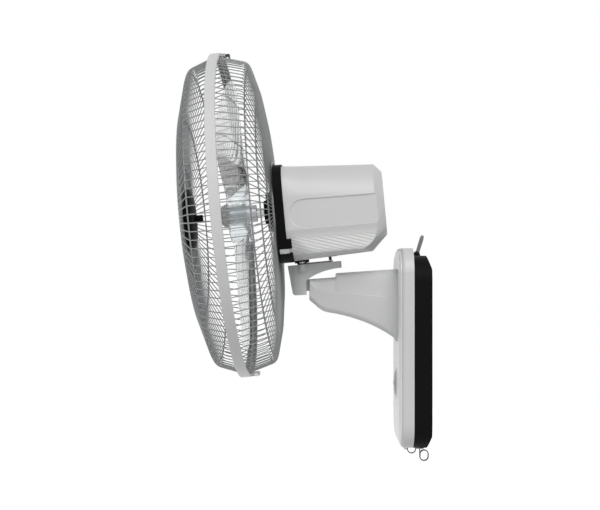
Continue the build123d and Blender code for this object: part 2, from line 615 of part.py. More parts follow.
FRONT_SHIELD_U = STATOR_U - SHIELD_REACH
REAR_SHIELD_U = STATOR_END_U + SHIELD_REACH


def shaft_bearings():
    """Two sintered bushes that carry the shaft."""
    spans = ((FRONT_SHIELD_U - BEARING_L + SHIELD_T, FRONT_SHIELD_U + SHIELD_T),
             (REAR_SHIELD_U - SHIELD_T, REAR_SHIELD_U + BEARING_L - SHIELD_T))
    return group(disc(BEARING_R, a, b, SHAFT_R + RUN) for a, b in spans)


def motor_bolts():
    """Four long bolts through both end shields and the core."""
    u0, u1 = FRONT_SHIELD_U, REAR_SHIELD_U
    shanks = bolt_holes(u0, u1 + 3, BOLT_R)
    heads = bolt_holes(u0 - 3, u0, BOLT_R + 1.6)
    return group(a + b for a, b in zip(shanks, heads))


def pivot_post():
    """Steel post with its collar and a yoke that bolts up under the motor."""
    top_z = NECK_TOP - SHAFT_RISE
    low_z = FORK_TOP - SHAFT_RISE - POST_TAIL
    stem = post(POST_R, low_z, top_z + PLAY)
    stem -= post(POST_R + 1, FORK_TOP - SHAFT_RISE, FORK_TOP - SHAFT_RISE + CIRCLIP_T) - post(
        POST_R - 1, low_z, top_z)
    link_clear = top_z + PLAY + LINK_T + PLAY
    shoulder = post(SHOULDER_R, top_z + PLAY, link_clear)
    collar = post(COLLAR_R, link_clear, COVER_LOW + YOKE_UP)
    yoke = block(-YOKE_W / 2, YOKE_W / 2, YOKE_FRONT, CRANK_BACK - SWING_MOTOR_R - PLAY,
                 COVER_LOW + YOKE_UP, FOOT_Z)
    foot = block(-YOKE_W / 2, YOKE_W / 2, FRONT_SHIELD_U - FAN_REACH - 2, STATOR_U - FAN_REACH - 2,
                 FOOT_Z - FOOT_T, FOOT_Z)
    return stem + shoulder + collar + yoke + foot


def post_circlip():
    """Clip in the post's groove, under the bush."""
    z = FORK_TOP - SHAFT_RISE
    ring = post(CIRCLIP_R, z + 0.05, z + CIRCLIP_T - 0.05) - post(POST_R - 1, z - 1, z + 3)
    return ring - block(-2, 2, 0, CIRCLIP_R + 1, z - 1, z + 3)


CRANK_LOW = NECK_TOP + PLAY + LINK_T + PLAY - SHAFT_RISE
DISC_LOW = -68.0


def swing_motor():
    """Small synchronous gear motor that turns the crank."""
    low = DISC_LOW + CRANK_DISC_T + 2 * PLAY
    return post(SWING_MOTOR_R, low, low + SWING_MOTOR_H, 0, CRANK_BACK) - post(
        CRANK_SHAFT_R + RUN, low - 1, low + CRANK_SHAFT_L + 1, 0, CRANK_BACK)


def crank():
    """Crank disc with its drive shaft above and its pin below."""
    low = DISC_LOW
    pin_x, pin_y = crank_pin_at()
    return (post(CRANK_DISC_R, low, low + CRANK_DISC_T, 0, CRANK_BACK)
            + post(CRANK_SHAFT_R, low + CRANK_DISC_T, low + CRANK_DISC_T + CRANK_SHAFT_L, 0, CRANK_BACK)
            + post(CRANK_PIN_R, CRANK_LOW, low, pin_x, pin_y))


# ================================================================ guards
def strip(points, thickness):
    """Closed outline of a bent wire from its centre line, mitred at the bends."""
    left, right = [], []
    for k, (x, y) in enumerate(points):
        before = points[max(k - 1, 0)]
        after = points[min(k + 1, len(points) - 1)]
        normals = []
        for a, b in ((before, (x, y)), ((x, y), after)):
            if a != b:
                length = hypot(b[0] - a[0], b[1] - a[1])
                normals.append(((a[1] - b[1]) / length, (b[0] - a[0]) / length))
        nx, ny = sum(n[0] for n in normals), sum(n[1] for n in normals)
        size = (nx * nx + ny * ny) / len(normals)
        nx, ny = nx / size * thickness / 2, ny / size * thickness / 2
        left.append((x + nx, y + ny))
        right.append((x - nx, y - ny))
    return left + right[::-1]


def guard_wire(points):
    """One radial guard wire of square section, in the plane X-Y."""
    face = make_face(Polyline(*strip(points, WIRE), close=True))
    return extrude(face, WIRE / 2, both=True)


def many_sided_ring(radius, u, size, sides):
    """Guard ring of square section whose flats lie between the wires' places."""
    outline = RegularPolygon(radius + size / 2, sides) - RegularPolygon(radius - size / 2, sides)
    ring = Rot(X=-90) * Pos(0, 0, u - size / 2) * extrude(outline, size)
    return Rot(Y=360 / sides / 4) * ring


RIM_R = BAND_R - BAND_T - PLAY - END_RING / 2
RIM_U = BAND_W / 2 - LIP_T - PLAY - END_RING / 2


def guard_cage(points, side):
    """All radial wires of one guard (side 1 rear, -1 front), joined to a ring at each end."""
    wire = guard_wire(points + ((RIM_R - END_RING / 2, side * RIM_U),))
    wires = [Rot(Y=360 / WIRE_COUNT * k) * wire for k in range(WIRE_COUNT)]
    hub_r, hub_u = points[0]
    hub_ring = many_sided_ring(hub_r, hub_u, END_RING, RING_SIDES)
    rim_ring = many_sided_ring(RIM_R, side * RIM_U, END_RING, RING_SIDES)
    return hub_ring.fuse(rim_ring, *wires)


def ring_seat(points, radius, side):
    """Distance at which a cross ring lies just inside the wires at a radius."""
    for (r0, u0), (r1, u1) in zip(points, points[1:]):
        if r0 <= radius <= r1:
            slope = (u1 - u0) / (r1 - r0)
            wire_half = WIRE / 2 * hypot(1, slope)
            sink = wire_half + RING / 2 * (1 + abs(slope)) + PLAY / 2
            return u0 + slope * (radius - r0) - side * sink
    raise ValueError(radius)


def guard_rings(points, radii, side):
    """Cross rings that lie against the inside of the wires."""
    return group(many_sided_ring(r, ring_seat(points, r, side), RING, CROSS_SIDES) for r in radii)


def mount_plate():
    """Black plate and threaded nose that carry the rear guard."""
    rear = FACE_U
    plate = disc(MOUNT_PLATE_R, rear - MOUNT_PLATE_T, rear)
    nose = disc(NOSE_R, NOSE_U, rear)
    return plate + nose - disc(SHAFT_R + 6, NOSE_U - 1, rear + 1)


def guard_nut():
    """Ring nut on the nose, with grip lobes."""
    u1 = FACE_U - MOUNT_PLATE_T
    nut = disc(GUARD_NUT_R, u1 - GUARD_NUT_T, u1, NOSE_R)
    for k in range(8):
        nut -= Rot(Y=45 * k) * Pos(GUARD_NUT_R + 2, u1 - GUARD_NUT_T / 2, 0) * Rot(X=90) * Cylinder(
            4, GUARD_NUT_T + 1)
    return nut


def guard_badge():
    """Plain domed disc in the front guard's centre."""
    u = FRONT_WIRE[0][1] - RING / 2 - 0.4
    return turned((0, u), (BADGE_R, u), (BADGE_R, u - 1), (BADGE_R - 6, u - BADGE_T + 1.2), (0, u - BADGE_T))


def rim_band():
    """Channel band round both guards' rims, with a clamp lug at the bottom."""
    half = BAND_W / 2
    inner = BAND_R - BAND_T
    lip = BAND_R - BAND_LIP
    band = turned((lip, -half), (BAND_R - 0.6, -half), (BAND_R, -half + 0.6), (BAND_R, half - 0.6),
                  (BAND_R - 0.6, half), (lip, half), (lip, half - LIP_T), (inner, half - LIP_T),
                  (inner, LIP_T - half), (lip, LIP_T - half))
    lug = block(-LUG_W / 2, LUG_W / 2, half, half + LUG_T, -BAND_R + 0.5, -BAND_R + 0.5 + LUG_H)
    ear = block(-LATCH_W / 2 - 3, LATCH_W / 2 + 3, half, half + 4, BAND_R - 4.5, BAND_R - 0.5)
    gap = block(-LATCH_W / 2 - PLAY, LATCH_W / 2 + PLAY, half + PLAY, half + 5, BAND_R - 6, BAND_R + 1)
    hole = Pos(0, half + 2.2, BAND_R - 2.5) * Rot(Y=90) * Cylinder(0.8 + RUN, LATCH_W + 10)
    return band + lug + (ear - gap) - hole - Pos(0, half + LUG_T / 2 + 1, -BAND_R + LUG_H / 2) * Rot(
        Y=90) * Cylinder(SCREW_R - 0.5, LUG_W + 1)


def rim_screw():
    """Clamp screw across the band's lug."""
    at = Pos(0, BAND_W / 2 + LUG_T / 2 + 1, -BAND_R + LUG_H / 2) * Rot(Y=90)
    head = Pos(0, 0, LUG_W / 2 + 1) * Cylinder(SCREW_HEAD_R - 1, SCREW_HEAD_H)
    return at * (Cylinder(SCREW_R - 0.5, LUG_W + 2) + head)


def rim_latch():
    """Dark flip latch behind the top of the band."""
    u = BAND_W / 2 + 2.2
    z = BAND_R - 2.5
    half = LATCH_W / 2
    pin = Pos(0, u, z) * Rot(Y=90) * Cylinder(0.8, LATCH_W + 5)
    arm = block(-half, half, u - 1.2, u + LATCH_L - 2, z - 1.2, z + LATCH_T - 1.2)
    hook = block(-half, half, u + LATCH_L - 3.5, u + LATCH_L - 2, z - 5, z)
    return pin + arm + hook


# ================================================================ impeller
def blade_rib(radius, sweep, tail):
    """One cross-section of a blade: a thin curved strip on a cylinder's tangent plane."""
    half = radians(BLADE_ANGLE) / 2 * radius * sweep
    rise = (HUB_REAR_U - HUB_FRONT_U) / 2 * tail
    mid_u = (HUB_REAR_U + HUB_FRONT_U) / 2
    plane = Plane(origin=(0, 0, radius), x_dir=(1, 0, 0), z_dir=(0, 0, 1))
    low, top = (-half, mid_u + rise - 1.0), (half, mid_u - rise)
    bow = BLADE_BOW * half
    middle = (0, mid_u + bow / 2)
    arc = ThreePointArc(low, middle, top)
    back = ThreePointArc(*[(x, u + BLADE_T) for x, u in (top, middle, low)])
    outline = Wire([arc.edge(), Line(arc @ 1, back @ 0).edge(), back.edge(), Line(back @ 1, arc @ 0).edge()])
    return plane * make_face(outline)


def blade():
    """One wide blade lofted from root to tip and trimmed to its rounded outline."""
    ribs = [blade_rib(r, s, t) for r, s, t in ((26, 0.75, 0.86), (90, 0.62, 0.98), (150, 0.56, 0.98),
                                              (BLADE_TIP_R + 4, 0.50, 0.85))]
    body = loft(ribs)
    mid, half = (BLADE_TIP_R + BLADE_IN_R) / 2, (BLADE_TIP_R - BLADE_IN_R) / 2
    outline = Pos(0, mid) * Ellipse(BLADE_HALF_W, half) + Pos(0, HUB_R) * Rectangle(2 * BLADE_IN_R, 2 * HUB_R)
    cutter = Rot(X=90) * extrude(outline, BLADE_TIP_R, both=True)
    return (body & cutter) - disc(HUB_R - HUB_WALL / 2, -BLADE_TIP_R, BLADE_TIP_R)


def impeller():
    """Clear moulded impeller: an open hub with a boss and three wide blades."""
    hub = turned((INSERT_R, HUB_REAR_U - 4), (INSERT_R, HUB_FRONT_U), (HUB_R - 2, HUB_FRONT_U),
                 (HUB_R, HUB_FRONT_U + 2), (HUB_R, HUB_REAR_U), (HUB_R - HUB_WALL, HUB_REAR_U),
                 (HUB_R - HUB_WALL, HUB_FRONT_U + 3), (INSERT_R + 3, HUB_FRONT_U + 3),
                 (INSERT_R + 3, HUB_REAR_U - 4))
    one = blade()
    return hub.fuse(*[Rot(Y=360 / BLADE_COUNT * k + 33) * one for k in range(BLADE_COUNT)])


def blade_insert():
    """Metal sleeve in the hub that keys onto the shaft."""
    return disc(INSERT_R, HUB_FRONT_U, INSERT_REAR_U, SHAFT_R) - drive_pin_form(0.0)


def drive_pin_form(grow):
    """Cross pin through the shaft and the sleeve's rear slot."""
    return Pos(0, INSERT_REAR_U - 2.5, 0) * Rot(Y=90) * Cylinder(1.5 + grow, 2 * INSERT_R - 3)


def spinner_nut():
    """Round-nosed nut that holds the impeller on the shaft."""
    u = HUB_FRONT_U - PLAY / 3
    cap = turned((0, u - SPINNER_T), (SPINNER_R * 0.5, u - SPINNER_T + 1.5),
                 (SPINNER_R * 0.85, u - SPINNER_T / 2), (SPINNER_R, u - 2), (SPINNER_R, u), (0, u))
    return cap - disc(SHAFT_R, SHAFT_FRONT_U, u + 1)


def motor_shaft():
    """Steel shaft from the spinner nut to behind the rear bearing."""
    return disc(SHAFT_R, SHAFT_FRONT_U, SHAFT_REAR_U) - drive_pin_form(0)


def rotor():
    """Rotor pressed on the shaft."""
    return disc(ROTOR_R, STATOR_U - 1, STATOR_END_U + 1, SHAFT_R)


# ================================================================ controls
def timer_knob():
    """Timer knob with a raised grip, on its shaft."""
    y = FASCIA_Y - PLAY
    knob = disc_y(KNOB_R, y - KNOB_H * 0.5, y, 0, KNOB_Z)
    knob = chamfer(knob.faces().sort_by(Axis.Y)[0].edges(), 1.0)
    grip = block(-2.6, 2.6, y - KNOB_H, y - KNOB_H * 0.5, KNOB_Z - KNOB_R + 3, KNOB_Z + KNOB_R - 3)
    shaft = disc_y(KNOB_SHAFT_R, y, SEAT_Y + WALL + TIMER_T / 2, 0, KNOB_Z)
    return knob + grip + shaft


def timer_body():
    """Timer mechanism behind the front wall."""
    y0 = SEAT_Y + WALL
    body = block(-TIMER_W / 2, TIMER_W / 2, y0, y0 + TIMER_T, KNOB_Z - TIMER_W / 2, KNOB_Z + TIMER_W / 2)
    return body - disc_y(KNOB_SHAFT_R + RUN, y0 - 1, y0 + TIMER_T / 2 + 1, 0, KNOB_Z)


def pull_switch(side):
    """Pull switch on the back housing's floor, open below for its lever."""
    x = side * PULL_X
    body = block(x - SWITCH_W / 2, x + SWITCH_W / 2, -WALL - SWITCH_T, -WALL,
                 SWITCH_Z - SWITCH_H / 2, SWITCH_Z + SWITCH_H / 2)
    low = SWITCH_Z - SWITCH_H / 2
    return body - post(LEVER_R + RUN, low - 1, low + LEVER_L, x, PULL_Y)


def pull_lever(side):
    """Plunger in the switch that the cord pulls down."""
    low = SWITCH_Z - SWITCH_H / 2
    return post(LEVER_R, low - 2, low - 2 + LEVER_L, side * PULL_X, PULL_Y)


def cord_eyelets():
    """Two eyelets in the base's underside."""
    rings = []
    for side in (-1, 1):
        z = -BASE_H / 2
        ring = post(EYELET_R, z, z + WALL, side * PULL_X, PULL_Y)
        ring += post(EYELET_R + 1.5, z - 1.2, z, side * PULL_X, PULL_Y)
        rings.append(ring - post(EYELET_BORE, z - 2, z + WALL + 1, side * PULL_X, PULL_Y))
    return group(rings)


# ================================================================ cords
def cord_section(path, diameter, sides):
    """Flat-sided section at a path's start."""
    return Plane(origin=path @ 0, z_dir=path % 0) * RegularPolygon(diameter / 2, sides)


def tube(points, diameter, sides, label):
    """Round cord along straight runs joined by tangent arcs; prints its radii and length."""
    radii = []
    for a, b, c in zip(points, points[1:], points[2:]):
        p, q, r = Vector(*a), Vector(*b), Vector(*c)
        turn = radians((q - p).get_angle(r - q))
        radii.append(0.45 * min((q - p).length, (r - q).length) / tan(turn / 2))
    path = FilletPolyline(*points, radius=radii)
    section = cord_section(path, diameter, sides)
    solid = sweep(section, path=path)
    expected = section.area * path.length
    print(f"{label}: radii {[round(r, 1) for r in radii]}, length {path.length:.1f} mm, "
          f"volume ratio {solid.volume / expected:.4f}")
    return solid


def looped_path(start, loops, run, bend_r, pitch, step, out):
    """Edges of a hank: upright runs joined by half turns that each step sideways."""
    edges, points = [], []
    here = Vector(*start)
    side = Vector(*out)
    for k in range(2 * loops):
        down = k % 2 == 0
        way = Vector(0, 0, -1 if down else 1)
        there = here + way * run
        edges.append(Edge.make_line(here, there))
        across_way = side if down else side * -1
        after = there + across_way * (2 * bend_r) + Vector(*step) * (pitch / 2)
        mid = there + (after - there) * 0.5
        radius = (after - there).length / 2
        edges.append(Edge.make_three_point_arc(there, mid + way * radius, after))
        here = after
    there = here + Vector(0, 0, -run)
    edges.append(Edge.make_line(here, there))
    return edges, there


def least_gap(edges, diameter, spacing=2.0):
    """Least free distance between stretches of the tube that aren't next to each other."""
    points, along, travelled = [], [], 0.0
    for edge in edges:
        count = max(2, int(edge.length / spacing))
        for k in range(count):
            points.append(edge @ (k / count))
            along.append(travelled + edge.length * k / count)
        travelled += edge.length
    best = 1e9
    for i in range(len(points)):
        for j in range(i + 1, len(points)):
            if along[j] - along[i] > 4 * diameter:
                best = min(best, (points[j] - points[i]).length)
    return best - diameter


def looped_tube(start, loops, run, bend_r, pitch, step, out, diameter, sides, label):
    """One unbroken tube wound into loops, with its last run; prints its gap and length."""
    edges, end = looped_path(start, loops, run, bend_r, pitch, step, out)
    path = Wire(edges)
    section = cord_section(path, diameter, sides)
    solid = sweep(section, path=path)
    expected = section.area * path.length
    print(f"{label}: length {path.length:.1f} mm, least gap {least_gap(edges, diameter):.2f} mm, "
          f"volume ratio {solid.volume / expected:.4f}")
    return solid, end


GLAND_DIR = Vector(*CORD_POINTS[1]) - Vector(*CORD_POINTS[0])
GLAND_R = 5.5
GLAND_AT = Location(Plane(origin=CORD_POINTS[0], z_dir=GLAND_DIR))
GLAND_OUT, GLAND_IN = 6.0, 9.0


def cord_gland():
    """Tapered strain relief through the back housing's top."""
    outer = Pos(0, 0, -GLAND_OUT / 2) * Cone(GLAND_R + 1.2, CORD_D / 2 + 1, GLAND_OUT)
    inner = Pos(0, 0, -GLAND_OUT - GLAND_IN / 2) * Cylinder(GLAND_R, GLAND_IN)
    return GLAND_AT * (outer + inner)


def plug_body(top):
    """Moulded plug with a tapered neck."""
    x, y, z = top.X, top.Y, top.Z
    core = loft([Plane(origin=(x, y, z)) * RectangleRounded(CORD_D + 4, CORD_D + 4, 3),
                 Plane(origin=(x, y, z - 12)) * RectangleRounded(PLUG_T, PLUG_T, 4)], ruled=True)
    return core + Pos(x, y, z - 12 - (PLUG_L - 12) / 2) * extrude_centered(PLUG_W, PLUG_T, PLUG_L - 12)


def extrude_centered(width, depth, height):
    """Rounded block centred on the origin."""
    return Pos(0, 0, -height / 2) * extrude(RectangleRounded(width, depth, 4), height)


def plug_pins(top):
    """Two round pins under the plug."""
    z = top.Z - PLUG_L
    return group(post(PLUG_PIN_R, z - PLUG_PIN_L, z, top.X + s * PLUG_PIN_GAP / 2, top.Y) for s in (-1, 1))


def hank_tie(start, loops):
    """Band round the hank's middle."""
    x0, y0, z0 = start
    depth = 2 * HANK_BEND_R + CORD_D
    width = loops * HANK_PITCH + CORD_D
    mid = Pos(x0 - loops * HANK_PITCH / 2, y0 + HANK_BEND_R, z0 - HANK_RUN / 2)
    outer = Pos(0, 0, -4) * extrude(RectangleRounded(width + 3.2, depth + 3.2, 4.0), 8)
    inner = Pos(0, 0, -5) * extrude(RectangleRounded(width + 0.6, depth + 0.6, 3.0), 10)
    return mid * (outer - inner)


def pull_cord(side):
    """Straight stretch of pull cord from its lever down through the eyelet."""
    top = SWITCH_Z - SWITCH_H / 2 - 2
    return post(PULL_R, PULL_END_Z, top, side * PULL_X, PULL_Y)


PULL_END_Z = -BASE_H / 2 - 2.0 - PULL_BEND_R - PULL_R


def pull_bundle(side, loops):
    """The pull cord's tied-up end: loops hanging under the base."""
    start = (side * PULL_X, PULL_Y, PULL_END_Z)
    return looped_tube(start, loops, PULL_RUN, PULL_BEND_R, PULL_PITCH, (side, 0, 0), (0, side, 0),
                       2 * PULL_R, THIN_SIDES, f"pull bundle {side:+d}")[0]


# ================================================================ write the nodes
def save(name, shape, frame=Location()):
    """Write one node in the fan's own frame."""
    export_step(frame * shape, f"parts/{name}.step")


def main():
    hank, hank_end = looped_tube(CORD_POINTS[-1], HANK_LOOPS, HANK_RUN, HANK_BEND_R, HANK_PITCH,
                                 (-1, 0, 0), (0, 1, 0), CORD_D, CORD_SIDES, "hank")
    lead_points = [(hank_end.X + x, hank_end.Y + y, hank_end.Z + z) for x, y, z in LEAD_POINTS_DOWN]
    plug_top = Vector(*lead_points[-1])

    save("wall_plate", wall_plate())
    save("back_housing", back_housing())
    save("front_housing", front_housing())
    save("fascia_panel", fascia_panel())
    save("wall_arm", wall_arm())
    save("arm_tongue", arm_tongue())
    save("tilt_pin", tilt_pin())
    save("tilt_washers", tilt_washers())
    save("timer_body", timer_body())
    save("timer_knob", timer_knob())
    save("base_screws", base_screws())
    save("run_capacitor", run_capacitor())
    save("speed_switch", pull_switch(1))
    save("swing_switch", pull_switch(-1))
    save("speed_lever", pull_lever(1))
    save("swing_lever", pull_lever(-1))
    save("speed_pull_cord", pull_cord(1))
    save("swing_pull_cord", pull_cord(-1))
    save("speed_pull_bundle", pull_bundle(1, PULL_LOOPS))
    save("swing_pull_bundle", pull_bundle(-1, PULL_LOOPS - 1))
    save("cord_eyelets", cord_eyelets())
    save("cord_gland", cord_gland())
    save("power_cord", tube(CORD_POINTS, CORD_D, CORD_SIDES, "power cord"))
    save("cord_hank", hank)
    save("hank_tie", hank_tie(CORD_POINTS[-1], HANK_LOOPS))
    save("plug_lead", tube(lead_points, CORD_D, CORD_SIDES, "plug lead"))
    save("plug_body", plug_body(plug_top))
    save("plug_pins", plug_pins(plug_top))

    save("neck_housing", neck_housing(), NECK)
    save("pivot_bush", pivot_bush(), NECK)
    save("link_pin", link_pin(), NECK)
    save("swing_link", swing_link(), NECK * Pos(0, SWING_BACK, NECK_TOP + PLAY))

    save("pivot_post", pivot_post(), HEAD)
    save("post_circlip", post_circlip(), HEAD)
    save("swing_motor", swing_motor(), HEAD)
    save("crank", crank(), HEAD)

    save("motor_front_cover", motor_front_cover(), FAN)
    save("motor_rear_cover", motor_rear_cover(), FAN)
    save("stator_core", stator_core(), FAN)
    save("stator_windings", stator_windings(), FAN)
    save("front_end_shield", end_shield(STATOR_U, -1), FAN)
    save("rear_end_shield", end_shield(STATOR_END_U, 1), FAN)
    save("shaft_bearings", shaft_bearings(), FAN)
    save("motor_bolts", motor_bolts(), FAN)
    save("guard_mount_plate", mount_plate(), FAN)
    save("guard_nut", guard_nut(), FAN)
    save("rear_guard", guard_cage(REAR_WIRE, 1), FAN)
    save("front_guard", guard_cage(FRONT_WIRE, -1), FAN)
    save("rear_guard_rings", guard_rings(REAR_WIRE, REAR_RINGS, 1), FAN)
    save("front_guard_rings", guard_rings(FRONT_WIRE, FRONT_RINGS, -1), FAN)
    save("guard_badge", guard_badge(), FAN)
    save("rim_band", rim_band(), FAN)
    save("rim_screw", rim_screw(), FAN)
    save("rim_latch", rim_latch(), FAN)

    save("impeller", impeller(), FAN)
    save("blade_insert", blade_insert(), FAN)
    save("drive_pin", drive_pin_form(0.0), FAN)
    save("spinner_nut", spinner_nut(), FAN)
    save("motor_shaft", motor_shaft(), FAN)
    save("rotor", rotor(), FAN)


main()
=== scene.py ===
"""Looks of a 400 mm wall fan: finishes, wire guards, blades, covers and cords, in metres."""

import json
import logging
import math
from dataclasses import dataclass, replace
from enum import Enum

import bmesh
import bpy
from bmesh.types import BMEdge, BMesh, BMVert
from bpy.types import ID, Material, Node, NodeSocket, Object, World
from mathutils import Matrix, Vector


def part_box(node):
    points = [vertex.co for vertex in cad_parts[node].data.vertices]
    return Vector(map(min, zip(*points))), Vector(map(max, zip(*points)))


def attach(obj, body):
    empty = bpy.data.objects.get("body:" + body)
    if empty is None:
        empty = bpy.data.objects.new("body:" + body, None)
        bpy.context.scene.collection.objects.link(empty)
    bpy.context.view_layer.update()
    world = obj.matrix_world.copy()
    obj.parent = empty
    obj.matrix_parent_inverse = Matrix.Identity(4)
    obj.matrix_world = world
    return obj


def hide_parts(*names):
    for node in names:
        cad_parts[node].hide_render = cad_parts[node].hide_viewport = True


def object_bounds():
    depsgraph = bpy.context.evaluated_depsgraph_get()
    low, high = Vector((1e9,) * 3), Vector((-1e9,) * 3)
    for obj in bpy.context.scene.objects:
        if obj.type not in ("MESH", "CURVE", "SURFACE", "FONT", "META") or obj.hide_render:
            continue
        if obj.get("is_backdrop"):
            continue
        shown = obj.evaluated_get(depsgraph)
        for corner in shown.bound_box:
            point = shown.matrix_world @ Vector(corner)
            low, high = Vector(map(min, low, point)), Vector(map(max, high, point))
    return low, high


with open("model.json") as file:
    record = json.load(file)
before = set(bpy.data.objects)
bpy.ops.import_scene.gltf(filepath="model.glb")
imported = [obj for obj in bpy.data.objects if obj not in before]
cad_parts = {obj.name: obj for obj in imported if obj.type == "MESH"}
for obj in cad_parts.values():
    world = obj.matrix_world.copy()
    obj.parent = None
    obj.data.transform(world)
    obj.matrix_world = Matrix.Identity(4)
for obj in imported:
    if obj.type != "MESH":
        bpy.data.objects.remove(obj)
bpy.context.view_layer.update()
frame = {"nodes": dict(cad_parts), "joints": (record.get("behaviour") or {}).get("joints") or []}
LOG = logging.getLogger("wall_fan")
MM = 0.001
WHITE = (1.0, 1.0, 1.0, 1.0)


# ---------------- small tools
def joint(name: str) -> dict:
    """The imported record's joint of that name, with its pos_m and axis."""
    return next(j for j in frame["joints"] if j["name"] == name)


def fan_frame() -> Matrix:
    """Frame of the fan's head: origin in the guard's middle plane, +Y to the rear.

    Returns:
        The matrix from the head's own coordinates, in metres, to the part's.
    """
    spin = joint("impeller_spin")
    rear = Vector(spin["axis"]).normalized()
    up = Vector(joint("swing")["axis"]).normalized()
    left = rear.cross(up).normalized()
    turn = Matrix((left, rear, left.cross(rear))).transposed().to_4x4()
    return Matrix.Translation(Vector(spin["pos_m"])) @ turn


FAN = fan_frame()


def colour(hex_code: str) -> tuple[float, float, float, float]:
    """Turn an sRGB hex colour into the linear one that a shader takes.

    Args:
        hex_code: Six hex digits.

    Returns:
        Linear red, green, blue and an alpha of 1.
    """
    parts = [int(hex_code[i:i + 2], 16) / 255 for i in (0, 2, 4)]
    linear = [c / 12.92 if c <= 0.04045 else ((c + 0.055) / 1.055) ** 2.4 for c in parts]
    return (*linear, 1.0)


def spread(first: float, last: float, steps: int) -> list[float]:
    """Evenly spread values from the first to the last, both included."""
    return [first + (last - first) * k / steps for k in range(steps + 1)]


def feed(node: Node, settings: dict, links: dict | None = None) -> Node:
    """Set a node's values and link its inputs.

    Args:
        node: The node.
        settings: Attributes' names, or input sockets' names or numbers, with their values.
        links: Input sockets' names or numbers with the output sockets that feed them.

    Returns:
        The same node.
    """
    for key, value in settings.items():
        if isinstance(key, int) or key in node.inputs:
            node.inputs[key].default_value = value
        else:
            setattr(node, key, value)
    for key, socket in (links or {}).items():
        node.id_data.links.new(socket, node.inputs[key])
    return node


def add_node(owner: Material | World, kind: str,
             settings: dict | None = None, links: dict | None = None) -> Node:
    """Add one shader node with its settings and links.

    Args:
        owner: The material or world whose tree gets the node.
        kind: Blender's name of the node's type.
        settings, links: Its values and what feeds its inputs, as feed takes them.

    Returns:
        The new node.
    """
    return feed(owner.node_tree.nodes.new(kind), settings or {}, links)


def new_material(name: str) -> tuple[Material, Node]:
    """Make an empty node material.

    Args:
        name: Its name.

    Returns:
        The material and its Principled shader.
    """
    material = bpy.data.materials.new(name)
    material.use_nodes = True
    return material, material.node_tree.nodes["Principled BSDF"]


def new_object(name: str, data: ID) -> Object:
    """Put a new object in the scene, at the origin.

    Args:
        name: Its name.
        data: Its mesh, curve, camera or lamp.

    Returns:
        The object.
    """
    obj = bpy.data.objects.new(name, data)
    bpy.context.scene.collection.objects.link(obj)
    return obj


def piece_of(name: str, bm: BMesh, place: Matrix, material: Material,
             smooth_deg: float = 35.0) -> Object:
    """Turn a bmesh into a finished piece whose place is in its mesh.

    Args:
        name: The piece's name.
        bm: Its geometry, which is freed.
        place: Matrix from the bmesh's coordinates to the part's.
        material: Its only material.
        smooth_deg: Edges sharper than this stay sharp.

    Returns:
        The new object, at the origin.
    """
    bmesh.ops.transform(bm, matrix=place, verts=bm.verts)
    bmesh.ops.recalc_face_normals(bm, faces=bm.faces)
    for face in bm.faces:
        face.smooth = True
    for edge in bm.edges:
        if len(edge.link_faces) == 2 and edge.calc_face_angle(0.0) > math.radians(smooth_deg):
            edge.smooth = False
    mesh = bpy.data.meshes.new(name)
    bm.to_mesh(mesh)
    bm.free()
    mesh.materials.append(material)
    return new_object(name, mesh)


def settle(obj: Object, body: str, slot: str, *nodes: str) -> None:
    """Let a piece ride on a body, and hide the CAD nodes that it stands for.

    Args:
        obj: The piece.
        body: The CAD body's name.
        slot: The record's material slot; not used.
        nodes: CAD nodes that the piece replaces.
    """
    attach(obj, body)
    if nodes:
        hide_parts(*nodes)
    LOG.info("piece %s rides on %s", obj.name, body)


# ---------------- finishes
@dataclass(frozen=True)
class Pattern:
    """A texture in the object's space, by which a finish differs from place to place.

    Attributes:
        size_mm: Size of its marks.
        detail: How many finer steps are laid over them.
        stretch: How far the marks are drawn together, per axis.
        kind: Blender's name of the texture's node.
    """

    size_mm: float
    detail: float = 4.0
    stretch: tuple[float, float, float] = (1.0, 1.0, 1.0)
    kind: str = "ShaderNodeTexNoise"

    def add(self, material: Material) -> NodeSocket:
        """Add the pattern to a material.

        Args:
            material: The material that gets its nodes.

        Returns:
            The socket that gives its value.
        """
        where = add_node(material, "ShaderNodeTexCoord").outputs["Object"]
        place = add_node(material, "ShaderNodeMapping", {"Scale": self.stretch}, {"Vector": where})
        settings = {"Scale": 1 / (self.size_mm * MM), "Detail": self.detail}
        links = {"Vector": place.outputs["Vector"]}
        return add_node(material, self.kind, settings, links).outputs[0]


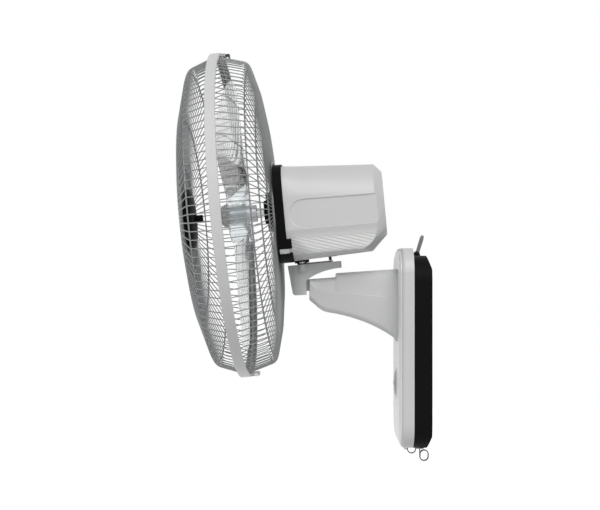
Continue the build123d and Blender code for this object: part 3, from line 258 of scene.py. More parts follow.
@dataclass(frozen=True)
class Surface:
    """A finish with a slow pattern in its tone and roughness, and a fine one in its surface.

    Attributes:
        hex_code: Its sRGB colour.
        roughness: Its mean roughness.
        bump: How deep the fine pattern looks.
        bump_mm: The height that the fine pattern stands for.
        slow: The pattern of tone and roughness.
        fine: The pattern of the surface; None where the slow one is that too.
        darkest: Share of the colour that is left where the slow pattern is darkest.
        span: How far the roughness goes below and above its mean.
        values: The shader's other values.
    """

    hex_code: str
    roughness: float
    bump: float
    bump_mm: float
    slow: Pattern
    fine: Pattern | None
    darkest: float
    span: tuple[float, float]
    values: dict[str, float]

    @classmethod
    def moulded(cls, hex_code: str, roughness: float = 0.42, bump: float = 0.06,
                coat: float = 0.0, specular: float = 0.5) -> "Surface":
        """Injection-moulded plastic; its spark-eroded grain is drawn coarse, so that it shows.

        Args:
            hex_code, roughness, bump: As in the class.
            coat: Weight of the gloss over it.
            specular: Level of its sheen.

        Returns:
            The finish.
        """
        values = {"IOR": 1.53, "Coat Weight": coat, "Specular IOR Level": specular}
        return cls(hex_code, roughness, bump, 0.2, Pattern(45.0), Pattern(0.9, 3.0), 0.97,
                   (-0.05, 0.06), values)

    @classmethod
    def metal(cls, hex_code: str, roughness: float = 0.28, bump: float = 0.1,
              marks: Pattern = Pattern(1.0), metallic: float = 1.0) -> "Surface":
        """Plated, cast, turned or coated metal with fine marks of how it was made."""
        return cls(hex_code, roughness, bump, 0.1, marks, None, 0.86, (-0.08, 0.1),
                   {"Metallic": metallic})

    @classmethod
    def clear(cls, hex_code: str) -> "Surface":
        """Clear moulded plastic: glossy, with slow flow ripples."""
        return cls(hex_code, 0.02, 0.02, 0.6, Pattern(28.0, 2.0), None, 1.0, (0.0, 0.04),
                   {"Transmission Weight": 0.97, "IOR": 1.4})

    @classmethod
    def sheath(cls, hex_code: str, roughness: float, bump: float, lay_mm: float) -> "Surface":
        """Flexible sheath or braid, with the small regular lay of its strands."""
        lay = Pattern(lay_mm, 0.0, kind="ShaderNodeTexVoronoi")
        return cls(hex_code, roughness, bump, 0.1, Pattern(12.0, 2.0), lay, 0.85, (0.0, 0.0), {})

    def build(self, name: str) -> Material:
        """Make the material.

        Args:
            name: Its name.

        Returns:
            The material.
        """
        material, shader = new_material(name)
        slow = self.slow.add(material)
        fine = self.fine.add(material) if self.fine else slow
        bump = add_node(material, "ShaderNodeBump",
                        {"Strength": self.bump, "Distance": self.bump_mm * MM}, {"Height": fine})
        base = colour(self.hex_code)
        links = {"Normal": bump.outputs["Normal"]}
        if self.darkest < 1:
            dark = (*(c * self.darkest for c in base[:3]), 1.0)
            tone = add_node(material, "ShaderNodeMix", {"data_type": "RGBA", 6: base, 7: dark},
                            {"Factor": slow})
            links["Base Color"] = tone.outputs[2]
        if any(self.span):
            low, high = (self.roughness + step for step in self.span)
            rough = add_node(material, "ShaderNodeMapRange", {"To Min": low, "To Max": high},
                             {"Value": slow})
            links["Roughness"] = rough.outputs["Result"]
        feed(shader, {"Base Color": base, "Roughness": self.roughness, **self.values}, links)
        return material


class Finish(Enum):
    """Every finish on the fan, each with the record's slot of the same name in lower case."""

    # Light grey ABS from a textured mould: satin, its grain softens each highlight.
    LIGHT_GREY_ABS = Surface.moulded("D2D3D2", 0.40)
    # White ABS with a smoother face: brighter and a little glossier.
    WHITE_ABS = Surface.moulded("F3F5F5", 0.30, 0.03, coat=0.15)
    # Mid grey ABS, as the neck is moulded in.
    MID_GREY_ABS = Surface.moulded("C2C3C3")
    # Black ABS: dark, with hardly any sheen.
    BLACK_ABS = Surface.moulded("0C0C0D", 0.5, specular=0.05)
    # Clear styrene-acrylonitrile: sharp highlights, faint blue.
    CLEAR_AS = Surface.clear("F5F8F9")
    # Zinc-plated steel: a bluish bright metal with faint drawing lines.
    ZINC_STEEL = Surface.metal("C9CBCB", marks=Pattern(1.0, stretch=(1, 1, 6)))
    # Grey powder coat over drawn wire: less than half metallic, a soft highlight on each wire.
    GUARD_WIRE_STEEL = Surface.metal("8E9091", 0.4, 0.04, metallic=0.3)
    # Stacked electrical steel: dark, lined across the axis.
    LAMINATION_STEEL = Surface.metal("6C6D70", 0.5, 0.3, Pattern(1.0, stretch=(1, 12, 1)))
    # Cast aluminium with a matt skin.
    CAST_ALUMINIUM = Surface.metal("B9BBBD", 0.45, 0.3, Pattern(0.8))
    # Enamelled copper wire.
    COPPER_WINDING = Surface.metal("B5713F", 0.35, 0.5, Pattern(0.6))
    # Black passivated steel.
    DARK_STEEL = Surface.metal("3B3C3D", 0.45, metallic=0.8)
    # Nickel-plated brass: a warm grey bright metal.
    BRASS = Surface.metal("B4B1A8")
    # Natural acetal: milky and waxy.
    ACETAL = Surface.moulded("E3E0D6", 0.33, 0.02)
    # Grey PVC sheath: matt and soft.
    GREY_PVC = Surface.sheath("6E7072", 0.45, 0.05, 3.0)
    # Thin braided cord.
    PULL_CORD_FIBRE = Surface.sheath("7B7E81", 0.8, 0.6, 0.9)
    # Mid grey moulded knob.
    KNOB_GREY = Surface.moulded("B4B5B5", 0.36)

    @property
    def slot(self) -> str:
        """The record's material slot."""
        return self.name.lower()

    @property
    def material(self) -> Material:
        """The finish's material, made when it is first asked for."""
        name = "fan_" + self.slot
        return bpy.data.materials.get(name) or self.value.build(name)


# ---------------- stage
def seen_directly(owner: Material | World) -> NodeSocket:
    """Tell the rays of the camera, of gloss and through clear plastic from the light's rays.

    Args:
        owner: The material or world that gets the nodes.

    Returns:
        The socket that is 1 for such a ray, else 0.
    """
    path = add_node(owner, "ShaderNodeLightPath")
    seen = path.outputs["Is Camera Ray"]
    for ray in ("Is Transmission Ray", "Is Glossy Ray"):
        links = {0: seen, 1: path.outputs[ray]}
        seen = add_node(owner, "ShaderNodeMath", {"operation": "MAXIMUM"}, links).outputs[0]
    return seen


@dataclass
class Studio:
    """Camera at the fan's right side, lamps, white world and pale floor.

    Attributes:
        scale_m_per_px: Metres to a pixel in the fan's middle plane.
        centre: What the picture's centre shows, along Y and Z.
        lamps: Each lamp's name, place, side in metres and power in watts: a high key, one
            beside the camera, a weak fill below and one from the fan's front.
        aim: What the lamps face.
        world_light: Strength of the even light.
        floor_drop: How far the floor lies below the fan.
        floor_glow: What lifts the floor to white where it is seen.
    """

    scale_m_per_px: float = 1.358 * MM
    width_px: int = 600
    centre: tuple = (-0.1737, 0.1239)
    distance: float = 2.0
    sensor_mm: float = 36.0
    lamps: tuple = (("key", (1.6, 0.3, 1.85), 1.5, 24), ("side", (2.2, 0.5, 1.25), 1.2, 13),
                    ("fill", (2.4, 0.3, -0.4), 1.4, 1.5), ("front", (0.9, -2.2, 0.6), 1.4, 13))
    aim: tuple = (0.0, -0.2, 0.1)
    world_light: float = 0.23
    floor_size: float = 6.0
    floor_drop: float = 0.55
    floor_glow: float = 0.85

    def add_camera(self) -> None:
        """Place the camera square to the fan's side."""
        data = bpy.data.cameras.new("camera")
        data.sensor_width = self.sensor_mm
        data.lens = self.sensor_mm * self.distance / (self.scale_m_per_px * self.width_px)
        data.clip_end = 50
        camera = new_object("camera", data)
        camera.location = (self.distance, *self.centre)
        camera.rotation_euler = (math.radians(90), 0, math.radians(90))
        bpy.context.scene.camera = camera

    def add_lamps(self) -> None:
        """Add the soft square lamps, which face the fan."""
        for name, place, side, watts in self.lamps:
            data = bpy.data.lights.new(name, "AREA")
            data.shape = "SQUARE"
            data.size = side
            data.energy = watts
            lamp = new_object(name, data)
            lamp.location = place
            way = Vector(self.aim) - Vector(place)
            lamp.rotation_euler = way.to_track_quat("-Z", "Y").to_euler()

    def add_world(self) -> None:
        """Add even light, and plain white where the world is seen past the fan."""
        world = bpy.data.worlds.new("studio")
        bpy.context.scene.world = world
        world.use_nodes = True
        world.node_tree.nodes.clear()
        light, white = (add_node(world, "ShaderNodeBackground", {"Color": WHITE, "Strength": glow})
                        for glow in (self.world_light, 1.0))
        mix = add_node(world, "ShaderNodeMixShader", {},
                       {0: seen_directly(world), 1: light.outputs[0], 2: white.outputs[0]})
        add_node(world, "ShaderNodeOutputWorld", {}, {"Surface": mix.outputs[0]})

    def add_floor(self) -> None:
        """Add a pale floor far below the fan, which keeps its soft shadow."""
        bm = bmesh.new()
        bmesh.ops.create_grid(bm, x_segments=1, y_segments=1, size=self.floor_size)
        material, shader = new_material("pale_floor")
        feed(shader, {"Base Color": colour("E4E4E4"), "Roughness": 0.9})
        plain = shader.outputs[0]
        glow = add_node(material, "ShaderNodeEmission",
                        {"Color": WHITE, "Strength": self.floor_glow}).outputs[0]
        both = add_node(material, "ShaderNodeAddShader", {}, {0: plain, 1: glow})
        mix = add_node(material, "ShaderNodeMixShader", {},
                       {0: seen_directly(material), 1: plain, 2: both.outputs[0]})
        feed(material.node_tree.nodes["Material Output"], {}, {"Surface": mix.outputs[0]})
        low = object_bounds()[0].z - self.floor_drop
        piece_of("floor", bm, Matrix.Translation((0, 0, low)), material)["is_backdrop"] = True

    def build(self) -> None:
        """Make the whole stage but its camera."""
        bpy.context.scene.view_settings.view_transform = "Standard"
        self.add_lamps()
        self.add_world()
        self.add_floor()


# ---------------- cords
def nurbs_cord(name: str, points: list[Vector], diameter: float, finish: Finish) -> Object:
    """A cord as one smooth open curve with a round section.

    Args:
        name: The piece's name.
        points: Control points in the part's frame.
        diameter: The cord's diameter.
        finish: Its finish.

    Returns:
        The curve object.
    """
    data = bpy.data.curves.new(name, "CURVE")
    data.dimensions = "3D"
    data.bevel_depth = diameter / 2
    data.bevel_resolution = 4
    data.use_fill_caps = True
    spline = data.splines.new("NURBS")
    spline.points.add(len(points) - 1)
    for control, point in zip(spline.points, points):
        control.co = (*point, 1.0)
    spline.order_u = 3
    spline.use_endpoint_u = True
    spline.resolution_u = 5
    data.materials.append(finish.material)
    return new_object(name, data)


@dataclass
class Winding:
    """A flat hank: upright runs joined by half turns, each a step further along.

    Attributes:
        start: Where the first run begins.
        loops: Whole loops.
        run: Length of a run.
        bend: Radius of a half turn.
        pitch: Step along per loop.
        along: Direction in which the loops step.
        out: Direction from a down run to its up run.
        turn_points: Control points along a half turn.
        run_points: Those of a run, as shares of its length.
    """

    start: Vector
    loops: int
    run: float
    bend: float
    pitch: float
    along: Vector
    out: Vector
    turn_points: int = 8
    run_points: tuple = (0.08, 0.5, 0.92)

    def points(self) -> list[Vector]:
        """Lay out the hank.

        Returns:
            Its control points, up to the middle of its last down run.
        """
        result = []
        here = self.start
        widened = 1 / math.cos(math.pi / self.turn_points / 2)
        for k in range(2 * self.loops):
            down = k % 2 == 0
            way = Vector((0, 0, -1 if down else 1))
            there = here + way * self.run
            result += [here.lerp(there, t) for t in self.run_points]
            across = self.out if down else -self.out
            after = there + across * 2 * self.bend + self.along * self.pitch / 2
            middle = (there + after) / 2
            radius = (after - there).length / 2 * widened
            side = (there - middle).normalized()
            for n in range(self.turn_points):
                angle = math.pi * (n + 0.5) / self.turn_points
                spoke = side * math.cos(angle) + way * math.sin(angle)
                result.append(middle + spoke * radius)
            here = after
        return result + [here.lerp(self.end, t) for t in self.run_points[:2]]

    @property
    def end(self) -> Vector:
        """Where the last down run ends."""
        return self.start + self.along * self.pitch * self.loops - Vector((0, 0, self.run))


@dataclass
class MainsCord:
    """Mains cord from its gland over the top, down behind the far side, hanked, to its plug.

    Attributes:
        route_mm: Control points from the gland to the hank, in the part's frame.
        lead_mm: Control points from the hank to the plug, as seen from the hank's end.
        length: The whole cord's length in metres; not used.
    """

    diameter: float = 5.0 * MM
    route_mm: tuple = ((0.0, -14.5, 127.0), (-9.0, -9.0, 141.0), (-29.0, -5.0, 150.0),
                       (-53.0, -4.5, 147.0), (-75.0, -8.0, 129.0), (-85.0, -13.0, 99.0),
                       (-85.0, -27.0, 60.0), (-85.0, -33.5, 30.0), (-85.0, -33.5, 14.0))
    lead_mm: tuple = ((0.0, 0.0, 0.0), (0.0, 0.0, -14.0), (0.0, 7.0, -30.0),
                      (0.0, 11.0, -46.0), (0.0, 11.0, -56.0))
    loops: int = 7
    run: float = 60 * MM
    bend: float = 15 * MM
    pitch: float = 5.5 * MM
    length: float = 1.83

    def build(self) -> None:
        route = [Vector(p) * MM for p in self.route_mm]
        hank = Winding(route[-1], self.loops, self.run, self.bend, self.pitch,
                       Vector((-1, 0, 0)), Vector((0, 1, 0)))
        lead = [hank.end + Vector(p) * MM for p in self.lead_mm]
        cord = nurbs_cord("mains_cord", route[:-1] + hank.points() + lead, self.diameter,
                          Finish.GREY_PVC)
        settle(cord, "wall_base", Finish.GREY_PVC.slot, "power_cord", "cord_hank", "plug_lead")


@dataclass
class PullCord:
    """One pull cord with its tied-up end.

    Attributes:
        name: The piece's name.
        body: The body that it moves with.
        side: 1 on the fan's left, -1 on its right.
        loops: Loops in the tied-up end.
    """

    name: str
    body: str
    side: int
    loops: int
    diameter: float = 1.5 * MM
    bend: float = 5.5 * MM
    run: float = 3 * MM
    pitch: float = 2 * MM

    def build(self) -> None:
        low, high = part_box(self.name + "_cord")
        top = Vector(((low.x + high.x) / 2, (low.y + high.y) / 2, high.z))
        bottom = Vector((top.x, top.y, low.z))
        winding = Winding(bottom, self.loops, self.run, self.bend, self.pitch,
                          Vector((self.side, 0, 0)), Vector((0, self.side, 0)), turn_points=6)
        points = [top, top.lerp(bottom, 0.5), *winding.points(), winding.end]
        cord = nurbs_cord(self.name + "_line", points, self.diameter, Finish.PULL_CORD_FIBRE)
        settle(cord, self.body, Finish.PULL_CORD_FIBRE.slot, self.name + "_cord",
               self.name + "_bundle")


# ---------------- guards
def spin_round(bm: BMesh, geom: list, steps: int) -> None:
    """Spin verts and edges once round the Y axis, and close the form."""
    bmesh.ops.spin(bm, geom=geom, cent=(0, 0, 0), axis=(0, 1, 0), dvec=(0, 0, 0),
                   angle=2 * math.pi, steps=steps, use_merge=True, use_duplicate=False)


def tube_along(bm: BMesh, path: list[Vector], radius: float, sides: int) -> None:
    """Draw a circle out along a path that lies in one plane.

    Args:
        bm: The mesh that gets the tube.
        path: Points of its centre line, in the plane X-Y.
        radius: Its radius.
        sides: Flat sides of its section.
    """
    across = Vector((0, 0, 1))
    places = []
    for k, point in enumerate(path):
        ahead = (path[min(k + 1, len(path) - 1)] - path[max(k - 1, 0)]).normalized()
        basis = Matrix((across, ahead.cross(across), ahead)).transposed().to_4x4()
        places.append(Matrix.Translation(point) @ basis)
    circle = bmesh.ops.create_circle(bm, cap_ends=True, segments=sides, radius=radius,
                                     matrix=places[0])
    edges = list({e for v in circle["verts"] for e in v.link_edges})
    for before, place in zip(places, places[1:]):
        grown = bmesh.ops.extrude_edge_only(bm, edges=edges)["geom"]
        verts = [g for g in grown if isinstance(g, BMVert)]
        edges = [g for g in grown if isinstance(g, BMEdge) and all(v in verts for v in g.verts)]
        bmesh.ops.transform(bm, matrix=place @ before.inverted(), verts=verts)
    bmesh.ops.contextual_create(bm, geom=edges)


def rounded_path(points: list[tuple[float, float]], bend: float, steps: int) -> list[Vector]:
    """Centre line of a bent wire, its corners rounded.

    Args:
        points: Corners as (radius, distance behind the guard's middle), in millimetres.
        bend: Radius of the bends, in millimetres.
        steps: Points along each bend.

    Returns:
        The centre line in metres, in the plane X-Y.
    """
    corners = [Vector((x, y, 0)) for x, y in points]
    path = [corners[0]]
    for a, b, c in zip(corners, corners[1:], corners[2:]):
        back, ahead = (a - b).normalized(), (c - b).normalized()
        turn = math.pi - back.angle(ahead)
        cut = min(bend * math.tan(turn / 2), (a - b).length * 0.45, (c - b).length * 0.45)
        start, end = b + back * cut, b + ahead * cut
        path += [start.lerp(b, t).lerp(b.lerp(end, t), t) for t in spread(0.0, 1.0, steps)]
    path.append(corners[-1])
    return [p * MM for p in path]


@dataclass
class Guard:
    """One half of the guard: radial wires, two end rings and three cross rings.

    Attributes:
        name: The piece's name.
        nodes: The CAD nodes that it stands for.
        side: 1 for the rear half, -1 for the front.
        corners_mm: The wires' corners as (radius, distance behind the middle).
        rings_mm: Radii of the cross rings.
        rim_r: Radius of the outer end ring.
        rim_u: That ring's distance from the middle.
        bend: Radius of the wires' bends.
    """

    name: str
    nodes: tuple[str, str]
    side: int
    corners_mm: tuple
    rings_mm: tuple
    wire_count: int = 120
    wire: float = 1.4
    ring: float = 2.0
    end_ring: float = 3.0
    rim_r: float = 216.0
    rim_u: float = 3.55
    bend: float = 9.0

    def seat(self, radius: float) -> float:
        """Find where a cross ring touches the wires from inside.

        Args:
            radius: The ring's radius in millimetres.

        Returns:
            Its distance behind the guard's middle, in millimetres.
        """
        for (r0, u0), (r1, u1) in zip(self.corners_mm, self.corners_mm[1:]):
            if r0 <= radius <= r1:
                slope = (u1 - u0) / (r1 - r0)
                gap = (self.wire + self.ring) / 2 * math.hypot(1, slope)
                return u0 + slope * (radius - r0) - self.side * gap
        raise ValueError(f"no wire at radius {radius}")

    def add_ring(self, bm: BMesh, radius: float, u: float, size: float) -> None:
        """Spin one round ring about the fan's axis.

        Args:
            bm: The mesh that gets the ring.
            radius: Its radius in millimetres.
            u: Its distance behind the middle plane in millimetres.
            size: Its wire's diameter in millimetres.
        """
        place = Matrix.Translation((radius * MM, u * MM, 0))
        made = bmesh.ops.create_circle(bm, segments=10, radius=size / 2 * MM, matrix=place)
        edges = list({e for v in made["verts"] for e in v.link_edges})
        spin_round(bm, made["verts"] + edges, steps=144)

    def build(self) -> None:
        """Make the wires and rings as one piece on the head."""
        bm = bmesh.new()
        rim = (self.rim_r - self.end_ring / 2, self.side * self.rim_u)
        path = rounded_path(list(self.corners_mm) + [rim], self.bend, steps=3)
        tube_along(bm, path, self.wire / 2 * MM, sides=8)
        geom = list(bm.verts) + list(bm.edges) + list(bm.faces)
        step = 2 * math.pi / self.wire_count
        bmesh.ops.spin(bm, geom=geom, cent=(0, 0, 0), axis=(0, 1, 0), dvec=(0, 0, 0),
                       angle=step * (self.wire_count - 1), steps=self.wire_count - 1,
                       use_duplicate=True)
        hub_r, hub_u = self.corners_mm[0]
        self.add_ring(bm, hub_r, hub_u, self.end_ring)
        self.add_ring(bm, self.rim_r, self.side * self.rim_u, self.end_ring)
        for radius in self.rings_mm:
            self.add_ring(bm, radius, self.seat(radius), self.ring)
        guard = piece_of(self.name, bm, FAN, Finish.GUARD_WIRE_STEEL.material, smooth_deg=60)
        settle(guard, "head", Finish.GUARD_WIRE_STEEL.slot, *self.nodes)


# ---------------- moulded skins
def eased(points: tuple[tuple[float, float], ...], at: float) -> float:
    """Read a smooth curve through a few points.

    Args:
        points: (place, value) pairs in rising order of place.
        at: Where to read it.

    Returns:
        The value, on a cubic that never overshoots its neighbours.
    """
    at = min(max(at, points[0][0]), points[-1][0])
    slopes = [(q[1] - p[1]) / (q[0] - p[0]) for p, q in zip(points, points[1:])]
    tangents = [slopes[0]]
    for before, after in zip(slopes, slopes[1:]):
        tangents.append(0.0 if before * after <= 0 else 2 * before * after / (before + after))
    tangents.append(slopes[-1])
    k = next(k for k, q in enumerate(points[1:]) if at <= q[0])
    p, q = points[k], points[k + 1]
    step = q[0] - p[0]
    t = (at - p[0]) / step
    return (p[1] * (2 * t ** 3 - 3 * t ** 2 + 1) + q[1] * (3 * t ** 2 - 2 * t ** 3)
            + step * tangents[k] * (t ** 3 - 2 * t ** 2 + t)
            + step * tangents[k + 1] * (t ** 3 - t ** 2))


def loft(bm: BMesh, rings: list[list[Vector]]) -> None:
    """Skin closed rings of equal length and close both ends.

    Args:
        bm: The mesh that gets the skin.
        rings: The rings' points, in millimetres.
    """
    rows = [[bm.verts.new(point * MM) for point in ring] for ring in rings]
    for row, ahead in zip(rows, rows[1:]):
        for k in range(len(row)):
            n = (k + 1) % len(row)
            bm.faces.new((row[k], row[n], ahead[n], ahead[k]))
    bm.faces.new(rows[0])
    bm.faces.new(rows[-1])


@dataclass
class WallArm:
    """The moulded arm: it drops and widens toward the wall, with a ledge along each side.

    Attributes:
        low: Underside's height against distance from the wall, in millimetres.
        tip_top: Top's height ahead of the step.
        top: Top's height behind it.
        half: Half the width.
        ledge: Height of the ledge, below which the side stands a little proud.
        step_y: Where the top steps down to make room for the neck's flange.
        step_long: How long that step is.
        flat: Share of the width over which the top is flat.
        shoulder: How far up from the ledge to the top the round shoulder starts, as a share.
        lean: How far inside the half width it starts.
        proud: How far the ledge stands out.
        slope: Height over which it does.
        belly: Radius of the soft edge below, at most belly_most of the height under the ledge.
        tuck: How far the side leans in from the ledge down to that edge.
        tip_mid, tip_face, tip_round: Height of the tip's middle, its face as a share of the
            section, and the length over which its edge is rounded.
        tip_rows, rear_rows: Sections ahead of the step and behind it.
    """

    low: tuple = ((-161.0, 63.0), (-140.0, 47.4), (-125.0, 44.6), (-111.0, 41.4), (-91.0, 35.2),
                  (-70.0, 26.2), (-54.0, 17.1), (-42.0, 8.2), (-37.5, 4.0))
    tip_top: tuple = ((-161.0, 90.9), (-125.5, 93.6))
    top: tuple = ((-125.5, 99.0), (-97.0, 101.0), (-60.0, 103.5), (-37.5, 104.9))
    half: tuple = ((-161.0, 20.0), (-123.0, 20.8), (-97.0, 22.5), (-76.0, 25.5), (-60.0, 29.5),
                   (-47.0, 34.5), (-37.5, 39.0))
    ledge: tuple = ((-161.0, 84.0), (-155.0, 81.0), (-150.0, 76.6), (-144.0, 75.4), (-119.0, 73.0),
                    (-84.0, 70.3), (-52.0, 66.9), (-45.0, 65.8), (-40.0, 61.5), (-37.5, 58.5))
    step_y: float = -125.5
    step_long: float = 0.6
    flat: float = 0.6
    shoulder: float = 0.42
    lean: float = 1.9
    proud: float = 0.8
    slope: float = 1.0
    belly: float = 8.0
    belly_most: float = 0.45
    tuck: float = 0.6
    tip_mid: float = 77.0
    tip_face: float = 0.97
    tip_round: float = 0.8
    shoulder_steps: int = 6
    belly_steps: int = 4
    tip_rows: int = 10
    rear_rows: int = 26

    def ring(self, y: float, tip: bool) -> list[Vector]:
        """One closed section.

        Args:
            y: Its distance from the wall, in millimetres.
            tip: Whether it lies ahead of the step in the top.

        Returns:
            Its points, from the middle of the top all the way round.
        """
        low, half, ledge = (eased(curve, y) for curve in (self.low, self.half, self.ledge))
        top = eased(self.tip_top if tip else self.top, y)
        right = [(0.0, top)]
        shoulder_low = ledge + self.shoulder * (top - ledge)
        for angle in spread(0.0, math.pi / 2, self.shoulder_steps):
            round_off = half * (1 - self.flat) - self.lean
            right.append((half * self.flat + round_off * math.sin(angle),
                          shoulder_low + (top - shoulder_low) * math.cos(angle)))
        right += [(half - self.proud, ledge + self.slope / 2), (half, ledge - self.slope / 2)]
        belly = min(self.belly, (ledge - low) * self.belly_most)
        for angle in spread(0.0, math.pi / 2, self.belly_steps):
            right.append((half - self.tuck - belly * (1 - math.cos(angle)),
                          low + belly * (1 - math.sin(angle))))
        right.append((0.0, low))
        left = [(-x, z) for x, z in reversed(right[1:-1])]
        return [Vector((x, y, z)) for x, z in right + left]

    def build(self) -> None:
        """Make the arm as one skin on the base."""
        bm = bmesh.new()
        front, back = self.low[0][0], self.low[-1][0]
        tip = spread(front + self.tip_round, self.step_y, self.tip_rows)
        rear = spread(self.step_y, back, self.rear_rows)[1:]
        mid = Vector((0, front, self.tip_mid))
        face = [mid.lerp(p, self.tip_face) for p in self.ring(front, True)]
        loft(bm, [face, *(self.ring(y, True) for y in tip),
                  *(self.ring(y, False) for y in [self.step_y + self.step_long, *rear])])
        arm = piece_of("wall_arm_skin", bm, Matrix(), Finish.LIGHT_GREY_ABS.material,
                       smooth_deg=28)
        settle(arm, "wall_base", Finish.LIGHT_GREY_ABS.slot, "wall_arm")


@dataclass
class Impeller:
    """Clear moulded impeller: an open hub and three wide blades of even thickness.

    Attributes:
        mid_u: Middle of the blades along the axis, in millimetres.
        rise: Half the axial pitch from one edge of a blade to the other.
        in_r: Radius at which a blade leaves the hub.
        tip_r: Radius of its tip.
        round_r: Inner radius of the oval that a blade is cut to.
        half_width: Half that oval's width.
        root: Half a blade's least width near the hub, out to root_r.
        tip: Half its least width beyond.
        chord: Half the chord of the untrimmed blade against radius.
        camber: How far a blade bulges, as a share of that.
        first_deg: Angle of the first blade.
        rows, columns: Facets of a blade outwards and across.
        hub: The hub's closed outline as (radius, distance along the axis).
    """

    blades: int = 3
    mid_u: float = 9.5
    rise: float = 13.2
    in_r: float = 36.8
    tip_r: float = 192.0
    thickness: float = 2.0
    round_r: float = 32.0
    half_width: float = 84.0
    root: float = 30.0
    root_r: float = 76.0
    tip: float = 0.4
    chord: tuple = ((26.0, 15.7), (90.0, 44.8), (150.0, 67.4), (196.0, 78.7))
    camber: float = 0.05
    first_deg: float = 33.0
    rows: int = 22
    columns: int = 16
    hub: tuple = ((11.5, 19.0), (11.5, -4.0), (36.0, -4.0), (37.4, -3.4), (38.0, -2.0),
                  (38.0, 23.0), (35.5, 23.0), (35.5, -1.0), (14.5, -1.0), (14.5, 19.0))

    def blade(self, bm: BMesh) -> list:
        """Add one blade that points up, as a curved sheet with thickness.

        Args:
            bm: The mesh that gets the blade.

        Returns:
            The blade's geometry.
        """
        mid, half = (self.tip_r + self.round_r) / 2, (self.tip_r - self.round_r) / 2
        grid = []
        for t in spread(0.0, 1.0, self.rows):
            r = self.in_r + (self.tip_r - self.in_r) * math.sin(math.pi / 2 * t)
            chord = eased(self.chord, r)
            oval = self.half_width * math.sqrt(max(0.0, 1 - ((r - mid) / half) ** 2))
            width = min(max(oval, self.root if r < self.root_r else self.tip), chord)
            row = []
            for x in spread(-width, width, self.columns):
                s = x / chord
                bulge = self.camber * chord * (1 - s * s)
                u = self.mid_u - self.rise * s + bulge + self.thickness / 2
                row.append(bm.verts.new(Vector((x, u, r)) * MM))
            grid.append(row)
        faces = [bm.faces.new((low[j], low[j + 1], high[j + 1], high[j]))
                 for low, high in zip(grid, grid[1:]) for j in range(self.columns)]
        made = bmesh.ops.solidify(bm, geom=faces, thickness=self.thickness * MM)
        return list({v for f in faces for v in f.verts} | {g for g in made["geom"]
                                                           if isinstance(g, BMVert)})

    def build(self) -> None:
        """Make hub and blades as one piece that spins."""
        bm = bmesh.new()
        for k in range(self.blades):
            verts = self.blade(bm)
            turn = Matrix.Rotation(math.radians(self.first_deg + 360 / self.blades * k), 4, "Y")
            bmesh.ops.transform(bm, matrix=turn, verts=verts)
        ring = [bm.verts.new((r * MM, u * MM, 0)) for r, u in self.hub]
        edges = [bm.edges.new(pair) for pair in zip(ring, ring[1:] + ring[:1])]
        spin_round(bm, ring + edges, steps=96)
        impeller = piece_of("impeller_moulding", bm, FAN, Finish.CLEAR_AS.material, smooth_deg=40)
        settle(impeller, "impeller", Finish.CLEAR_AS.slot, "impeller")


@dataclass(frozen=True)
class CoverSection:
    """Rounded-square section of the motor cover: heights, half width, corners, in millimetres."""

    top: float
    low: float
    half: float
    corner: float = 36.0
    low_corner: float = 36.0

    def towards(self, other: "CoverSection", t: float) -> "CoverSection":
        """The section a share t of the way to another one."""
        pairs = ((self.top, other.top), (self.low, other.low), (self.half, other.half))
        return CoverSection(*(a + (b - a) * t for a, b in pairs))

    def on_corner(self, degrees: float, upper: bool) -> tuple[float, float]:
        """Find a point on a corner.

        Args:
            degrees: Its angle, from 0 at the side to 90 at the top or underside.
            upper: Whether the corner is one at the top.

        Returns:
            The point's sideways and upward coordinates.
        """
        angle = math.radians(degrees)
        corner = self.corner if upper else self.low_corner
        centre = self.top - corner if upper else self.low + corner
        rise = corner * math.sin(angle)
        return self.half - corner * (1 - math.cos(angle)), centre + (rise if upper else -rise)

    def on_side(self, r: float, inset: float) -> tuple[float, float]:
        """Find a point of the side.

        Args:
            r: Its height.
            inset: How deep it lies under the section's outline.

        Returns:
            The point's sideways and upward coordinates.
        """
        corner = self.corner if r > 0 else self.low_corner
        sine = (max(0.0, r - (self.top - corner)) - max(0.0, self.low + corner - r)) / corner
        cosine = math.sqrt(max(0.0, 1 - sine * sine))
        return self.half - corner * (1 - cosine) - inset * cosine, r - inset * sine


